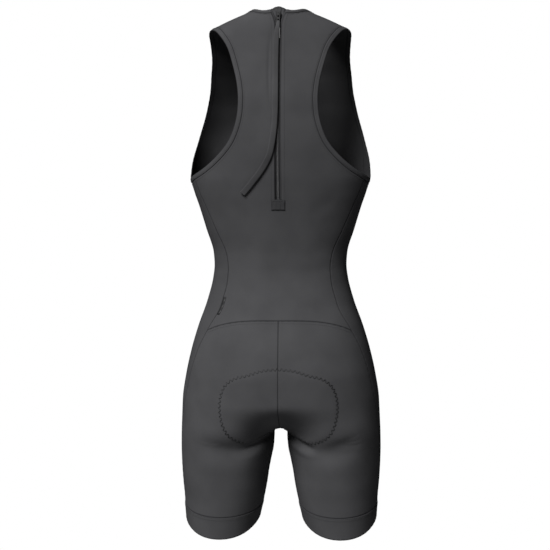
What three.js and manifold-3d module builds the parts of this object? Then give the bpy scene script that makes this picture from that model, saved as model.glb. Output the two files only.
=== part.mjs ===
// A women's one-piece triathlon suit, sleeveless and short-legged, with a zip down the back. It is
// filled out as if worn, with nobody in it, and is hollow from the neck to the leg openings.
// Millimetres, +Z up. The back faces +Y and the wearer's left is +X. The origin lies between the
// shoulders, at the height where the wearer carries the suit.

import * as THREE from "three";
import { mergeVertices } from "three/addons/utils/BufferGeometryUtils.js";
import Module from "manifold-3d";

const WALL = 1.4; // knit fabric with its seam allowance
const BOUND_RISE = 0.5; // a folded edge band stands this proud of the panel it edges
const SEAM_GAP = 0.34; // between two pieces that a seam joins
const LAY_GAP = 0.35; // between a piece and what it lies on
const BINDING_WIDTH = 8.5; // armhole and neck bands
const SLIT_HALF = 4.7; // half of the opening in the back panel that shows the zip
const TAPE = { inner: 2.5, outer: 11.3, thick: 1, gap: 0.6 }; // each zip tape, from the zip's middle line
const COIL = { half: 2.2, rise: -0.9, sink: 3.1 }; // the closed coil between the tapes
const PATCH_LENGTH = 18; // the reinforcing patch under the zip's end
// How far the zip's strips run past the slit's end or stop short of it, in rows of the back panel.
const STRIP_ROWS = {
  tapeBelowSlit: 0.4,
  tapeUnderNeck: 1.15,
  coilShort: 0.08,
  underSlider: 0.03,
  patchShort: 0.02,
};
const PAD_THICK = 4;
const PAD_SINK = 3.6; // the pad's outer face below the skin, clear of the panels' flat facets
const LABEL = { width: 6, top: -461, bottom: -489, thick: 1 };

// Heights of the main seams. The drop is how far a seam falls from the middle to the side.
const WAIST = { middle: -496, frontMiddle: -500, side: -515 };
const CUFF = { z: -805, backDroop: 12 };
const HEM = { z: -830.5, backDroop: 23 };
const ZIP_END = -301;

// Grid cells along each stretch of a panel.
const CELLS = {
  neckBack: 4, // from the zip to the shoulder seam
  neckFront: 5, // from the middle of the front to the shoulder seam
  shoulder: 3,
  side: 5, // across a side panel
  underarmToWaist: 9,
  armhole: 11, // from the underarm corner to the shoulder tip
  inseam: 5,
  crotchToWaist: 9,
  slitBelow: 8, // rows of the back panel below the zip's end
};

const BACK_HALF = CELLS.neckBack + CELLS.shoulder; // across half of the back or seat
const FRONT_HALF = CELLS.neckFront + CELLS.shoulder;

// The body form that the suit is cut for. half is the half-width, back and front are the furthest
// points, and square is the exponent of the oval section, 2 for an ellipse.
const TORSO = table(
  ["z", "half", "back", "front", "square"],
  [
    [40, 39, 43, -36, 2],
    [15, 43, 47, -40, 2],
    [8, 53.5, 50, -43, 2],
    [-2, 76.5, 54, -47, 2],
    [-12, 98, 57.5, -51, 2],
    [-22, 116, 61, -55, 2.05],
    [-32, 124, 64, -59, 2.1],
    [-60, 135, 71.5, -71, 2.1],
    [-100, 145, 82, -94, 2.15],
    [-150, 150.5, 90, -117, 2.2],
    [-200, 152, 92, -127, 2.25],
    [-262, 150.5, 88, -128, 2.25],
    [-292, 142.7, 83.5, -122, 2.25],
    [-312, 135.7, 80, -116, 2.25],
    [-352, 123.3, 73.5, -105, 2.25],
    [-392, 111.3, 69, -98, 2.25],
    [-412, 110, 68.5, -96, 2.25],
    [-432, 112.2, 70.5, -96, 2.25],
    [-472, 122.5, 81, -99, 2.25],
    [-512, 136.9, 97, -104, 2.3],
    [-552, 148.7, 110, -105, 2.3],
    [-592, 157.5, 117, -102, 2.35],
    [-632, 163.3, 116, -97, 2.35],
    [-672, 164.8, 108, -92, 2.3],
    [-712, 165.8, 96, -88, 2.2],
  ],
);

// One leg: outer is the far side, gap the half-gap to the other leg.
const LEG_SQUARE = 2.1;
const LEG = table(
  ["z", "outer", "gap", "back", "front"],
  [
    [-560, 150, -10, 108, -100],
    [-620, 161.9, 4, 107, -96],
    [-660, 164.5, 8, 103, -92],
    [-692, 165.6, 10.5, 97, -89],
    [-712, 165.8, 11.8, 93, -87],
    [-732, 165.3, 15.8, 90, -85.5],
    [-752, 164.3, 19.8, 87, -84],
    [-772, 162.8, 22.8, 84.5, -82],
    [-792, 160.8, 26.6, 81.5, -80],
    [-812, 159.6, 31.1, 79, -78],
    [-832, 158, 35.8, 76.5, -76],
    [-880, 154, 46, 72, -72],
  ],
);
const HIPS = { legsBelow: -690, torsoAbove: -630, crotchReach: 24, axisLeaves: -520 };

// The armhole's edge on the left side, from the shoulder tip down the back, under the arm and up the
// front. Each point is laid on the form. The corners are where the side panel's two seams end.
const ARMHOLE = {
  corners: { back: 10, front: 13 },
  points: table(
    ["x", "y", "z"],
    [
      [118.5, 0, -23],
      [104, 26, -26],
      [86.5, 52, -48],
      [74.3, 67, -82],
      [66.5, 76, -115],
      [64.4, 80, -142],
      [67.8, 82, -172],
      [78.2, 78, -203],
      [94, 68, -226],
      [115.7, 54, -247],
      [136, 33, -261],
      [150, 0, -267],
      [149.5, -27, -240],
      [141, -52, -207],
      [131, -65, -170],
      [123, -65, -132],
      [120, -55, -98],
      [119, -42, -65],
      [118.5, -22, -38],
    ],
  ),
};

// The neck's edge, from the middle of the back over the left shoulder to the middle of the front.
const NECK = {
  shoulder: 2, // the point at which the shoulder seam ends
  points: table(
    ["x", "y", "z"],
    [
      [0, 48, 12.5],
      [26, 42, 13],
      [43, 13, 13],
      [48, -8, 8.5],
      [42, -30, -8],
      [24, -47, -25],
      [0, -54, -32],
    ],
  ),
};

// Where the side panel's two seams run: their depths at each height.
const SIDE_SEAMS = table(
  ["z", "back", "front"],
  [
    [-290, 39, -50],
    [-346, 44, -47],
    [-399, 48, -47],
    [-420, 49, -48],
    [-452, 53, -52],
    [-497, 59, -58],
    [-519, 58, -57],
    [-545, 54, -53],
    [-605, 49, -46],
    [-655, 38, -40],
    [-712, 28, -36],
    [-750, 16, -34],
    [-812, 8, -32],
  ],
);

// The seat pad's half-width, by the distance along the middle from the crotch towards the back.
const PAD = table(
  ["along", "half"],
  [
    [-118, 18],
    [-100, 28],
    [-70, 31],
    [-30, 25],
    [0, 19],
    [20, 21],
    [40, 29],
    [60, 46],
    [80, 72],
    [100, 90],
    [120, 97],
    [140, 96],
    [160, 89],
    [175, 72],
    [185, 46],
    [191, 27],
  ],
);

// The zip's slider, pull tab and the flap behind them, all measured along the zip or across it.
const SLIDER = {
  down: 13, // its middle, from the neck's edge
  length: 11,
  half: 4.2,
  plateTop: 0.7,
  plateBottom: -0.6,
  core: 1.4,
  footTop: -3.4,
  footBottom: -4.5,
};
const BAIL = { half: 1.1, height: 2.1, thick: 0.8, window: 2.2, leg: 1.1 };
const TAB = {
  half: 2.7,
  bar: 0.6,
  arm: 1.2,
  window: 4.4,
  slotTop: 8.4,
  slotBottom: 10.2,
  end: 11.5,
  thick: 1.3,
};
const GUARD = {
  half: 15,
  thick: 1.2,
  crown: 3.5, // how much higher its middle stands than its corners
  rows: table(
    ["down", "sink"],
    [
      [34, 3.6],
      [24, 4.9],
      [18.5, 5.5],
      [7, 5.5],
      [3, 4.9],
      [0, 4.2],
      [-4.5, 2.6],
    ],
  ),
};

// The webbing leash from the pull tab's slot: its middle line over the back, how far it stands off,
// its half-width and how far it is turned about its own length, in degrees.
const LEASH = {
  thick: 2,
  steps: 44,
  points: table(
    ["x", "z", "lift", "half", "turn"],
    [
      [0, -10.6, 1.5, 2.6, 0],
      [0.6, -18, 2.5, 3.4, 0],
      [1.8, -27, 3.2, 4.2, -5],
      [3, -38, 3.6, 4.7, -8],
      [3.5, -58, 3.8, 4.75, -10],
      [3.7, -80, 3.8, 4.75, -12],
      [3.7, -104, 3.8, 4.75, -12],
      [3.8, -130, 3.8, 4.75, -12],
      [4.2, -157, 3.8, 4.75, -12],
      [6, -185, 3.8, 4.75, -12],
      [9, -208, 3.8, 4.75, -12],
      [14, -229, 3.8, 4.75, -12],
      [22, -245, 3.8, 4.75, -10],
      [32, -260, 3.6, 4.75, -8],
      [42, -272.5, 3.4, 4.75, -6],
      [50.5, -283, 3.2, 4.75, -4],
      [57.5, -291, 3, 4.75, -2],
    ],
  ),
};

function table(columns, rows) {
  return rows.map((row) => Object.fromEntries(columns.map((name, i) => [name, row[i]])));
}

// A smooth curve through one column of a table. It is monotone between rows, so it adds no bulge.
function through(rows, key, column) {
  const sorted = [...rows].sort((a, b) => a[key] - b[key]);
  const at = sorted.map((row) => row[key]);
  const value = sorted.map((row) => row[column]);
  const slope = at.slice(1).map((x, i) => (value[i + 1] - value[i]) / (x - at[i]));
  const tangent = at.map((_, i) => {
    if (i === 0 || i === at.length - 1) return slope[Math.min(i, slope.length - 1)];
    const [before, after] = [slope[i - 1], slope[i]];
    return before * after <= 0 ? 0 : (2 * before * after) / (before + after);
  });
  return (x) => {
    const held = THREE.MathUtils.clamp(x, at[0], at[at.length - 1]);
    let i = 0;
    while (i < at.length - 2 && held > at[i + 1]) i++;
    const span = at[i + 1] - at[i];
    const t = (held - at[i]) / span;
    const [t2, t3] = [t * t, t * t * t];
    return (
      value[i] * (2 * t3 - 3 * t2 + 1) +
      value[i + 1] * (3 * t2 - 2 * t3) +
      span * (tangent[i] * (t3 - 2 * t2 + t) + tangent[i + 1] * (t3 - t2))
    );
  };
}

function curves(rows, key, columns) {
  return Object.fromEntries(columns.map((name) => [name, through(rows, key, name)]));
}

const torso = curves(TORSO, "z", ["half", "back", "front", "square"]);
const leg = curves(LEG, "z", ["outer", "gap", "back", "front"]);

// The body form as one function, negative inside it.
function oval(x, y, half, back, front, square) {
  const depth = y > 0 ? back : -front;
  const across = Math.abs(x / half) ** square;
  const deep = Math.abs(y / depth) ** square;
  return ((across + deep) ** (1 / square) - 1) * Math.min(half, back, -front);
}

function blendedMin(a, b, reach) {
  const near = Math.max(reach - Math.abs(a - b), 0) / reach;
  return Math.min(a, b) - (near * near * reach) / 4;
}

function form(x, y, z) {
  const hips = THREE.MathUtils.smoothstep(z, HIPS.legsBelow, HIPS.torsoAbove);
  let value = 0;
  if (hips > 0) {
    value += hips * oval(x, y, torso.half(z), torso.back(z), torso.front(z), torso.square(z));
  }
  if (hips < 1) {
    const [outer, gap, back, front] = [leg.outer(z), leg.gap(z), leg.back(z), leg.front(z)];
    const [middle, half] = [(outer + gap) / 2, (outer - gap) / 2];
    const left = oval(x - middle, y, half, back, front, LEG_SQUARE);
    const right = oval(x + middle, y, half, back, front, LEG_SQUARE);
    value += (1 - hips) * blendedMin(left, right, HIPS.crotchReach);
  }
  return value;
}

function slopeAt(p) {
  const h = 0.4;
  return new THREE.Vector3(
    form(p.x + h, p.y, p.z) - form(p.x - h, p.y, p.z),
    form(p.x, p.y + h, p.z) - form(p.x, p.y - h, p.z),
    form(p.x, p.y, p.z + h) - form(p.x, p.y, p.z - h),
  ).divideScalar(2 * h);
}

function normalAt(p) {
  return slopeAt(p).normalize();
}

// The nearest point of the skin, by a few steps down the form's slope.
function onSkin(p) {
  const at = p.clone();
  for (let step = 0; step < 8; step++) {
    const slope = slopeAt(at);
    at.addScaledVector(slope, -form(at.x, at.y, at.z) / slope.lengthSq());
  }
  return at;
}

// Where a ray from inside the form leaves it.
function leaves(origin, aim) {
  const stride = 4;
  const value = (t) => form(origin.x + aim.x * t, origin.y + aim.y * t, origin.z + aim.z * t);
  let far = stride;
  while (value(far) < 0) far += stride;
  let near = far - stride;
  for (let i = 0; i < 26; i++) {
    const middle = (near + far) / 2;
    if (value(middle) < 0) near = middle;
    else far = middle;
  }
  return origin.clone().addScaledVector(aim, (near + far) / 2);
}

// Places on the skin are given by a turn about the body's or the leg's axis, from the left side
// towards the back, and by a climb from the chest: level rays below it, a fan of rays above it.
const FAN = { z: -150, reach: 110 };

function axisX(z) {
  const middle = (leg.outer(z) + leg.gap(z)) / 2;
  return middle * (1 - THREE.MathUtils.smoothstep(z, HIPS.legsBelow, HIPS.axisLeaves));
}

function rayOrigin(x, climb) {
  return new THREE.Vector3(x, 0, FAN.z + Math.min(climb, 0));
}

function skinAt(turn, climb) {
  const lift = Math.max(climb, 0) / FAN.reach;
  const level = Math.cos(lift);
  const aim = new THREE.Vector3(level * Math.cos(turn), level * Math.sin(turn), Math.sin(lift));
  return leaves(rayOrigin(axisX(FAN.z + Math.min(climb, 0)), climb), aim);
}

// The skin of the back or front (facing 1 or -1) at a distance x from the middle.
function skinFacing(facing, x, climb) {
  const lift = Math.max(climb, 0) / FAN.reach;
  return leaves(rayOrigin(x, climb), new THREE.Vector3(0, facing * Math.cos(lift), Math.sin(lift)));
}

function placeOf(p, facing = 1) {
  if (p.z <= FAN.z) {
    let turn = Math.atan2(p.y, p.x - axisX(p.z));
    if (facing < 0 && turn > Math.PI / 2) turn -= 2 * Math.PI;
    return [turn, p.z - FAN.z];
  }
  return [Math.atan2(p.y, p.x), Math.atan2(p.z - FAN.z, Math.hypot(p.x, p.y)) * FAN.reach];
}

function lengths(line) {
  const total = [0];
  line.slice(1).forEach((p, i) => total.push(total[i] + p.distanceTo(line[i])));
  return total;
}

function fractions(line) {
  const total = lengths(line);
  return total.map((length) => length / total[total.length - 1]);
}

// Points along a fine line at the given fractions of its length.
function pickAlong(line, wanted) {
  const at = fractions(line);
  return wanted.map((fraction) => {
    let i = 0;
    while (i < at.length - 2 && at[i + 1] < fraction) i++;
    const t = (fraction - at[i]) / (at[i + 1] - at[i]);
    return line[i].clone().lerp(line[i + 1], THREE.MathUtils.clamp(t, 0, 1));
  });
}

function even(cells) {
  return Array.from({ length: cells + 1 }, (_, i) => i / cells);
}

function mix(a, b, t) {
  return a + (b - a) * t;
}

// A panel's grid between four edges, blended in turn and climb and laid on the skin. Its rows run
// straight from the inner to the outer edge, and take up the bow of the low or high edge near it.
// topFade says how fast the high edge's bow dies away below it.
function panelGrid(bottom, top, inner, outer, { facing = 1, topFade = 3 } = {}) {
  const [low, high, left, right] = [bottom, top, inner, outer].map((edge) =>
    edge.map((p) => placeOf(p, facing)),
  );
  const average = (a, b) => fractions(a).map((f, i) => (f + fractions(b)[i]) / 2);
  const across = average(bottom, top);
  const along = average(inner, outer);
  const [rows, columns] = [inner.length - 1, bottom.length - 1];
  return along.map((v, i) =>
    across.map((u, j) => {
      if (i === 0 || i === rows) return skinPoint(i === 0 ? bottom[j] : top[j]);
      if (j === 0 || j === columns) return skinPoint(j === 0 ? inner[i] : outer[i]);
      const bow = (edge, k) => edge[j][k] - mix(edge[0][k], edge[columns][k], u);
      const blend = (k) =>
        mix(left[i][k], right[i][k], u) + bow(low, k) * (1 - v) ** 3 + bow(high, k) * v ** topFade;
      return skinPoint(skinAt(blend(0), blend(1)));
    }),
  );
}

function skinPoint(at) {
  return { at, normal: normalAt(at) };
}

function lifted({ at, normal }, rise) {
  return at.clone().addScaledVector(normal, rise);
}

// The grid with its outer rows and columns drawn in by half a seam gap, square to each edge. A ring
// is drawn in at its two rims only.
function drawnIn(grid, { ring = false } = {}) {
  const [last, end] = [grid.length - 1, grid[0].length - 1];
  const beside = (j) => (ring ? (j + end + 1) % (end + 1) : THREE.MathUtils.clamp(j, 0, end));
  const inward = (point, before, after, next) => {
    const aim = after.at.clone().sub(before.at).cross(point.normal).normalize();
    return aim.dot(next.at.clone().sub(point.at)) < 0 ? aim.negate() : aim;
  };
  return grid.map((row, i) =>
    row.map((point, j) => {
      const aims = [];
      if (i === 0 || i === last) {
        const next = grid[i === 0 ? 1 : last - 1][j];
        aims.push(inward(point, row[beside(j - 1)], row[beside(j + 1)], next));
      }
      if (!ring && (j === 0 || j === end)) {
        const [before, after] = [grid[Math.max(i - 1, 0)][j], grid[Math.min(i + 1, last)][j]];
        aims.push(inward(point, before, after, row[j === 0 ? 1 : end - 1]));
      }
      // At a corner the two moves are lengthened, so that both edges keep their gap.
      const sharpness = aims.length === 2 ? 1 + aims[0].dot(aims[1]) : 1;
      const moved = point.at.clone();
      aims.forEach((aim) => moved.addScaledVector(aim, SEAM_GAP / 2 / sharpness));
      return { at: moved, normal: point.normal };
    }),
  );
}

function mirrored(grid) {
  const flip = (v) => new THREE.Vector3(-v.x, v.y, v.z);
  return grid.map((row) => row.map(({ at, normal }) => ({ at: flip(at), normal: flip(normal) })));
}

// A closed wall over a grid: an outer face, an inner face and a rim round every open edge. kept says
// which cells it has, and a ring's last column joins its first.
function wall(grid, { rise = 0, sink = WALL, kept = () => true, ring = false } = {}) {
  const [rows, columns] = [grid.length, grid[0].length];
  const flat = grid.flat();
  const positions = [
    ...flat.map((point) => lifted(point, rise)),
    ...flat.map((point) => lifted(point, -sink)),
  ];
  const cellColumns = ring ? columns : columns - 1;
  const has = (i, j) => {
    const column = ring ? (j + columns) % columns : j;
    return i >= 0 && i < rows - 1 && column >= 0 && column < cellColumns && kept(i, column);
  };
  const outer = (i, j) => i * columns + (j % columns);
  const inner = (i, j) => outer(i, j) + flat.length;
  const faces = [];
  const quad = (a, b, c, d) => {
    const shortWay = positions[a].distanceTo(positions[c]) <= positions[b].distanceTo(positions[d]);
    if (shortWay) faces.push([a, b, c], [a, c, d]);
    else faces.push([a, b, d], [b, c, d]);
  };
  for (let i = 0; i < rows - 1; i++) {
    for (let j = 0; j < cellColumns; j++) {
      if (!has(i, j)) continue;
      quad(outer(i, j), outer(i, j + 1), outer(i + 1, j + 1), outer(i + 1, j));
      quad(inner(i + 1, j), inner(i + 1, j + 1), inner(i, j + 1), inner(i, j));
      const rim = (a, b, c, d) => quad(inner(a, b), inner(c, d), outer(c, d), outer(a, b));
      if (!has(i - 1, j)) rim(i, j, i, j + 1);
      if (!has(i + 1, j)) rim(i + 1, j + 1, i + 1, j);
      if (!has(i, j - 1)) rim(i + 1, j, i, j);
      if (!has(i, j + 1)) rim(i, j + 1, i + 1, j + 1);
    }
  }
  return facingOut(positions, faces);
}

// A geometry from points and triangles, turned so that it encloses a positive volume.
function facingOut(points, faces) {
  const volume = faces.reduce(
    (sum, [a, b, c]) => sum + points[a].dot(new THREE.Vector3().crossVectors(points[b], points[c])),
    0,
  );
  const turned = volume < 0 ? faces.map(([a, b, c]) => [a, c, b]) : faces;
  const used = [...new Set(turned.flat())];
  const renumbered = new Map(used.map((old, i) => [old, i]));
  const geometry = new THREE.BufferGeometry();
  geometry.setAttribute(
    "position",
    new THREE.Float32BufferAttribute(used.flatMap((i) => points[i].toArray()), 3),
  );
  geometry.setIndex(turned.flat().map((i) => renumbered.get(i)));
  return geometry;
}

// A bound edge: a smooth line laid on the skin, and beside each of its points the seam, one binding
// width away from the opening's middle.
function boundEdge(points, steps) {
  const vectors = points.map(({ x, y, z }) => onSkin(new THREE.Vector3(x, y, z)));
  const curve = new THREE.CatmullRomCurve3(vectors, true, "centripetal");
  const count = points.length * steps;
  const edge = Array.from({ length: count }, (_, i) => onSkin(curve.getPoint(i / count)));
  const middle = vectors.reduce((sum, p) => sum.add(p), new THREE.Vector3());
  middle.divideScalar(vectors.length);
  const seam = edge.map((p, i) => {
    const along = edge[(i + 1) % count].clone().sub(edge[(i + count - 1) % count]);
    const away = along.cross(normalAt(p)).setLength(BINDING_WIDTH);
    if (away.dot(p.clone().sub(middle)) < 0) away.negate();
    return onSkin(p.clone().add(away));
  });
  return { edge, seam };
}

// Paired points of a bound edge from one of its steps to another, evenly spaced along the seam.
function stretch({ edge, seam }, from, to, cells) {
  const steps = Array.from({ length: to - from + 1 }, (_, i) => (from + i) % edge.length);
  const at = fractions(steps.map((i) => seam[i]));
  return even(cells).map((wanted) => {
    const miss = at.map((f) => Math.abs(f - wanted));
    const nearest = steps[miss.indexOf(Math.min(...miss))];
    return { edge: edge[nearest], seam: seam[nearest] };
  });
}

const FINE = 30; // fine steps between two given points of a bound edge
const armhole = boundEdge(ARMHOLE.points, FINE);
const [backCorner, frontCorner] = [ARMHOLE.corners.back * FINE, ARMHOLE.corners.front * FINE];
const armholeBack = stretch(armhole, 0, backCorner, CELLS.armhole);
const armholeUnder = stretch(armhole, backCorner, frontCorner, CELLS.side);
const armholeFront = stretch(armhole, frontCorner, armhole.edge.length, CELLS.armhole);

const neckLoop = [
  ...NECK.points,
  ...NECK.points.slice(1, -1).reverse().map(({ x, y, z }) => ({ x: -x, y, z })),
];
const neck = boundEdge(neckLoop, FINE);
const neckFrom = neck.seam.findIndex((p) => p.x >= SLIT_HALF);
const neckBack = stretch(neck, neckFrom, NECK.shoulder * FINE, CELLS.neckBack);
const neckFront = stretch(neck, NECK.shoulder * FINE, (NECK.points.length - 1) * FINE, CELLS.neckFront);
neckBack[0].seam.x = SLIT_HALF;
neckBack[0].edge.x = SLIT_HALF;

const seamsOf = (stretchPoints) => stretchPoints.map((pair) => pair.seam);

// The shoulder seam, from the armhole to the neck.
const shoulderSeam = (() => {
  const [from, to] = [placeOf(armholeBack[0].seam), placeOf(neckBack[CELLS.neckBack].seam)];
  const line = even(CELLS.shoulder).map((t) => skinAt(mix(from[0], to[0], t), mix(from[1], to[1], t)));
  line[0] = armholeBack[0].seam;
  line[CELLS.shoulder] = neckBack[CELLS.neckBack].seam;
  return line;
})();

// The side panel's seams. Each starts at the armhole and ends at the cuff.
function lowEdgeZ({ z, backDroop }, turn) {
  return z - backDroop * Math.max(0, Math.sin(turn)) ** 1.7;
}

function sideSeam(column, corner) {
  const depth = through([...SIDE_SEAMS, { z: corner.z, [column]: corner.y }], "z", column);
  const pointAt = (z) => leaves(new THREE.Vector3(axisX(z), depth(z), z), new THREE.Vector3(1, 0, 0));
  const end = lowEdgeZ(CUFF, placeOf(pointAt(CUFF.z))[0]);
  const upper = even(CELLS.underarmToWaist).map((t) => pointAt(mix(WAIST.side, corner.z, t)));
  upper[CELLS.underarmToWaist] = corner;
  const lowerCells = CELLS.inseam + CELLS.crotchToWaist;
  const lower = even(lowerCells).map((t) => pointAt(mix(end, WAIST.side, t)));
  return { upper, lower };
}

const backSeam = sideSeam("back", armholeUnder[0].seam);
const frontSeam = sideSeam("front", armholeUnder[CELLS.side].seam);

// The waist seam of the back or front, level over the middle and falling towards the side.
function waistSeam(facing, middleZ, sidePoint, shares) {
  const start = (facing * Math.PI) / 2;
  const end = placeOf(sidePoint, facing)[0];
  return shares.map((share) => {
    if (share === 1) return sidePoint;
    const climb = mix(middleZ, WAIST.side, share ** 4) - FAN.z;
    if (share === 0) return skinFacing(facing, 0, climb);
    return skinAt(mix(start, end, share), climb);
  });
}

const slitShare = (() => {
  const beside = skinFacing(1, SLIT_HALF, WAIST.middle - FAN.z);
  const side = placeOf(backSeam.upper[0])[0];
  return (Math.PI / 2 - placeOf(beside)[0]) / (Math.PI / 2 - side);
})();
const backShares = even(BACK_HALF).map((t) => mix(slitShare, 1, t));
const backWaist = waistSeam(1, WAIST.middle, backSeam.upper[0], [0, ...backShares]);
const frontWaist = waistSeam(-1, WAIST.frontMiddle, frontSeam.upper[0], even(FRONT_HALF));

// Half of the back panel, from the zip's slit to its side, armhole and shoulder edges.
const slitTop = placeOf(neckBack[0].seam)[1];
const slitClimbs = [
  ...even(CELLS.slitBelow).map((t) => mix(WAIST.middle, ZIP_END, t) - FAN.z),
  ...even(CELLS.underarmToWaist + CELLS.armhole - CELLS.slitBelow)
    .slice(1)
    .map((t) => mix(ZIP_END - FAN.z, slitTop, t)),
];
const slitLine = slitClimbs.map((climb) => skinFacing(1, SLIT_HALF, climb));
slitLine[0] = backWaist[1];
slitLine[slitLine.length - 1] = neckBack[0].seam;
const backEdge = [...backSeam.upper, ...seamsOf(armholeBack).reverse().slice(1)];
const backTop = [...seamsOf(neckBack), ...shoulderSeam.slice(0, -1).reverse()];
const backHalf = panelGrid(backWaist.slice(1), backTop, slitLine, backEdge, { topFade: 6 });
const backGrid = mirrored(backHalf).map((row, i) => [...row.reverse(), ...backHalf[i]]);

// Half of the front panel.
const frontTopClimb = placeOf(neckFront[CELLS.neckFront].seam)[1];
const FRONT_CHEST_CLIMB = -140; // the middle's height where the armhole's rows begin
const frontClimbs = [
  ...even(CELLS.underarmToWaist).map((t) => mix(WAIST.frontMiddle - FAN.z, FRONT_CHEST_CLIMB, t)),
  ...even(CELLS.armhole)
    .slice(1)
    .map((t) => mix(FRONT_CHEST_CLIMB, frontTopClimb, t)),
];
const frontLine = frontClimbs.map((climb) => skinFacing(-1, 0, climb));
frontLine[frontLine.length - 1] = neckFront[CELLS.neckFront].seam;
const frontEdge = [...frontSeam.upper, ...seamsOf(armholeFront).slice(1)];
const frontTop = [...seamsOf(neckFront).reverse(), ...shoulderSeam.slice(0, -1).reverse()];
const frontHalf = panelGrid(frontWaist, frontTop, frontLine, frontEdge, { facing: -1, topFade: 10 });
const frontGrid = mirrored(frontHalf).map((row, i) => [...row.reverse().slice(0, -1), ...frontHalf[i]]);

// The middle line of the seat or front, from the crotch up to the waist seam.
const CROTCH_FAN_Z = -600;
function crotchLine(facing, waistZ) {
  const under = even(60).map((t) => {
    const down = (1 - t) * (Math.PI / 2);
    return leaves(
      new THREE.Vector3(0, 0, CROTCH_FAN_Z),
      new THREE.Vector3(0, facing * Math.cos(down), -Math.sin(down)),
    );
  });
  const above = even(60)
    .slice(1)
    .map((t) => skinFacing(facing, 0, mix(CROTCH_FAN_Z, waistZ, t) - FAN.z));
  return [...under, ...above];
}

function cuffPoint(turn) {
  return skinAt(turn, lowEdgeZ(CUFF, turn) - FAN.z);
}

// Half of the seat or the front of a leg: from the middle seam and inseam out to the side seam.
function legPanel(facing, waist, side, middleZ, shares) {
  const middle = pickAlong(crotchLine(facing, middleZ), even(CELLS.crotchToWaist));
  const crotch = middle[0];
  const inseam = even(CELLS.inseam)
    .slice(0, -1)
    .map((t) => skinAt(facing * Math.PI, mix(CUFF.z, crotch.z, t) - FAN.z));
  const inner = [...inseam, ...middle];
  inner[inner.length - 1] = waist[0];
  const sideTurn = placeOf(side.lower[0], facing)[0];
  const cuff = shares.map((share) => cuffPoint(mix(facing * Math.PI, sideTurn, share)));
  cuff[0] = inner[0];
  cuff[cuff.length - 1] = side.lower[0];
  return { grid: panelGrid(cuff, waist, inner, side.lower, { facing }), cuff };
}

const seat = legPanel(1, backWaist, backSeam, WAIST.middle, [0, ...backShares]);
const frontLeg = legPanel(-1, frontWaist, frontSeam, WAIST.frontMiddle, even(FRONT_HALF));

// The side panel, from the cuff to the underarm, between its back and front seams.
const sideCuff = even(CELLS.side).map((t) => {
  const [from, to] = [placeOf(backSeam.lower[0])[0], placeOf(frontSeam.lower[0])[0]];
  return cuffPoint(mix(from, to, t));
});
sideCuff[0] = backSeam.lower[0];
sideCuff[CELLS.side] = frontSeam.lower[0];
const sideGrid = panelGrid(
  sideCuff,
  seamsOf(armholeUnder),
  [...backSeam.lower, ...backSeam.upper.slice(1)],
  [...frontSeam.lower, ...frontSeam.upper.slice(1)],
);

// The leg band, a ring from the cuff seam down to the hem.
const cuffRing = [...seat.cuff, ...sideCuff.slice(1), ...frontLeg.cuff.slice(1, -1).reverse()];
const bandGrid = even(2).map((t) =>
  cuffRing.map((p) => {
    const turn = placeOf(p)[0];
    return skinPoint(t === 0 ? p : skinAt(turn, mix(p.z, lowEdgeZ(HEM, turn), t) - FAN.z));
  }),
);

// The armhole band, a ring, and the neck band, open where the zip runs.
const armholeRing = [...armholeBack, ...armholeUnder.slice(1), ...armholeFront.slice(1, -1)];
const bindingGrid = (pairs) => [
  pairs.map((pair) => skinPoint(pair.seam)),
  pairs.map((pair) => skinPoint(pair.edge)),
];
const neckHalf = bindingGrid([...neckBack, ...neckFront.slice(1)]);
const neckGrid = mirrored(neckHalf).map((row, i) => [...neckHalf[i], ...row.reverse().slice(1)]);

// A point of the back panel's facets, extended over the neck band: x from the middle, and a row.
const neckEdgeRow = backGrid.at(-1).map((point, j) => {
  const column = Math.abs(j - BACK_HALF - 0.5) - 0.5;
  if (column > CELLS.neckBack) return point;
  const edge = neckBack[column].edge.clone();
  if (j <= BACK_HALF) edge.x = -edge.x;
  return skinPoint(edge);
});
const backFacets = [...backGrid, neckEdgeRow];

function onBack(x, row) {
  const i = Math.min(Math.floor(row), backFacets.length - 2);
  const v = row - i;
  const right = BACK_HALF; // the column at the slit's right edge
  const firstWidth = (grid) => grid[right + 2].at.x - SLIT_HALF;
  const width = mix(firstWidth(backFacets[i]), firstWidth(backFacets[i + 1]), v);
  let column = right + 0.5 + x / (2 * SLIT_HALF);
  if (x > SLIT_HALF) column = right + 1 + (x - SLIT_HALF) / width;
  if (x < -SLIT_HALF) column = right + (x + SLIT_HALF) / width;
  return onFacets(backFacets, row, column);
}

function onFacets(grid, row, column) {
  const i = Math.min(Math.floor(row), grid.length - 2);
  const j = Math.min(Math.floor(column), grid[0].length - 2);
  const [v, u] = [row - i, column - j];
  const blend = (key) => {
    const lower = grid[i][j][key].clone().lerp(grid[i][j + 1][key], u);
    return lower.lerp(grid[i + 1][j][key].clone().lerp(grid[i + 1][j + 1][key], u), v);
  };
  return { at: blend("at"), normal: blend("normal").normalize() };
}

// The row of the back panel at a distance down the middle from the neck's edge.
const backMiddle = backFacets.map((row) => row[BACK_HALF + 1].at);
const backRun = lengths(backMiddle);
function rowDown(down) {
  const run = backRun[backRun.length - 1] - down;
  let i = 0;
  while (i < backRun.length - 2 && backRun[i + 1] < run) i++;
  return i + (run - backRun[i]) / (backRun[i + 1] - backRun[i]);
}

function zipStrip(across, rows) {
  return rows.map((row) => across.map((x) => onBack(x, row)));
}

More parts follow.
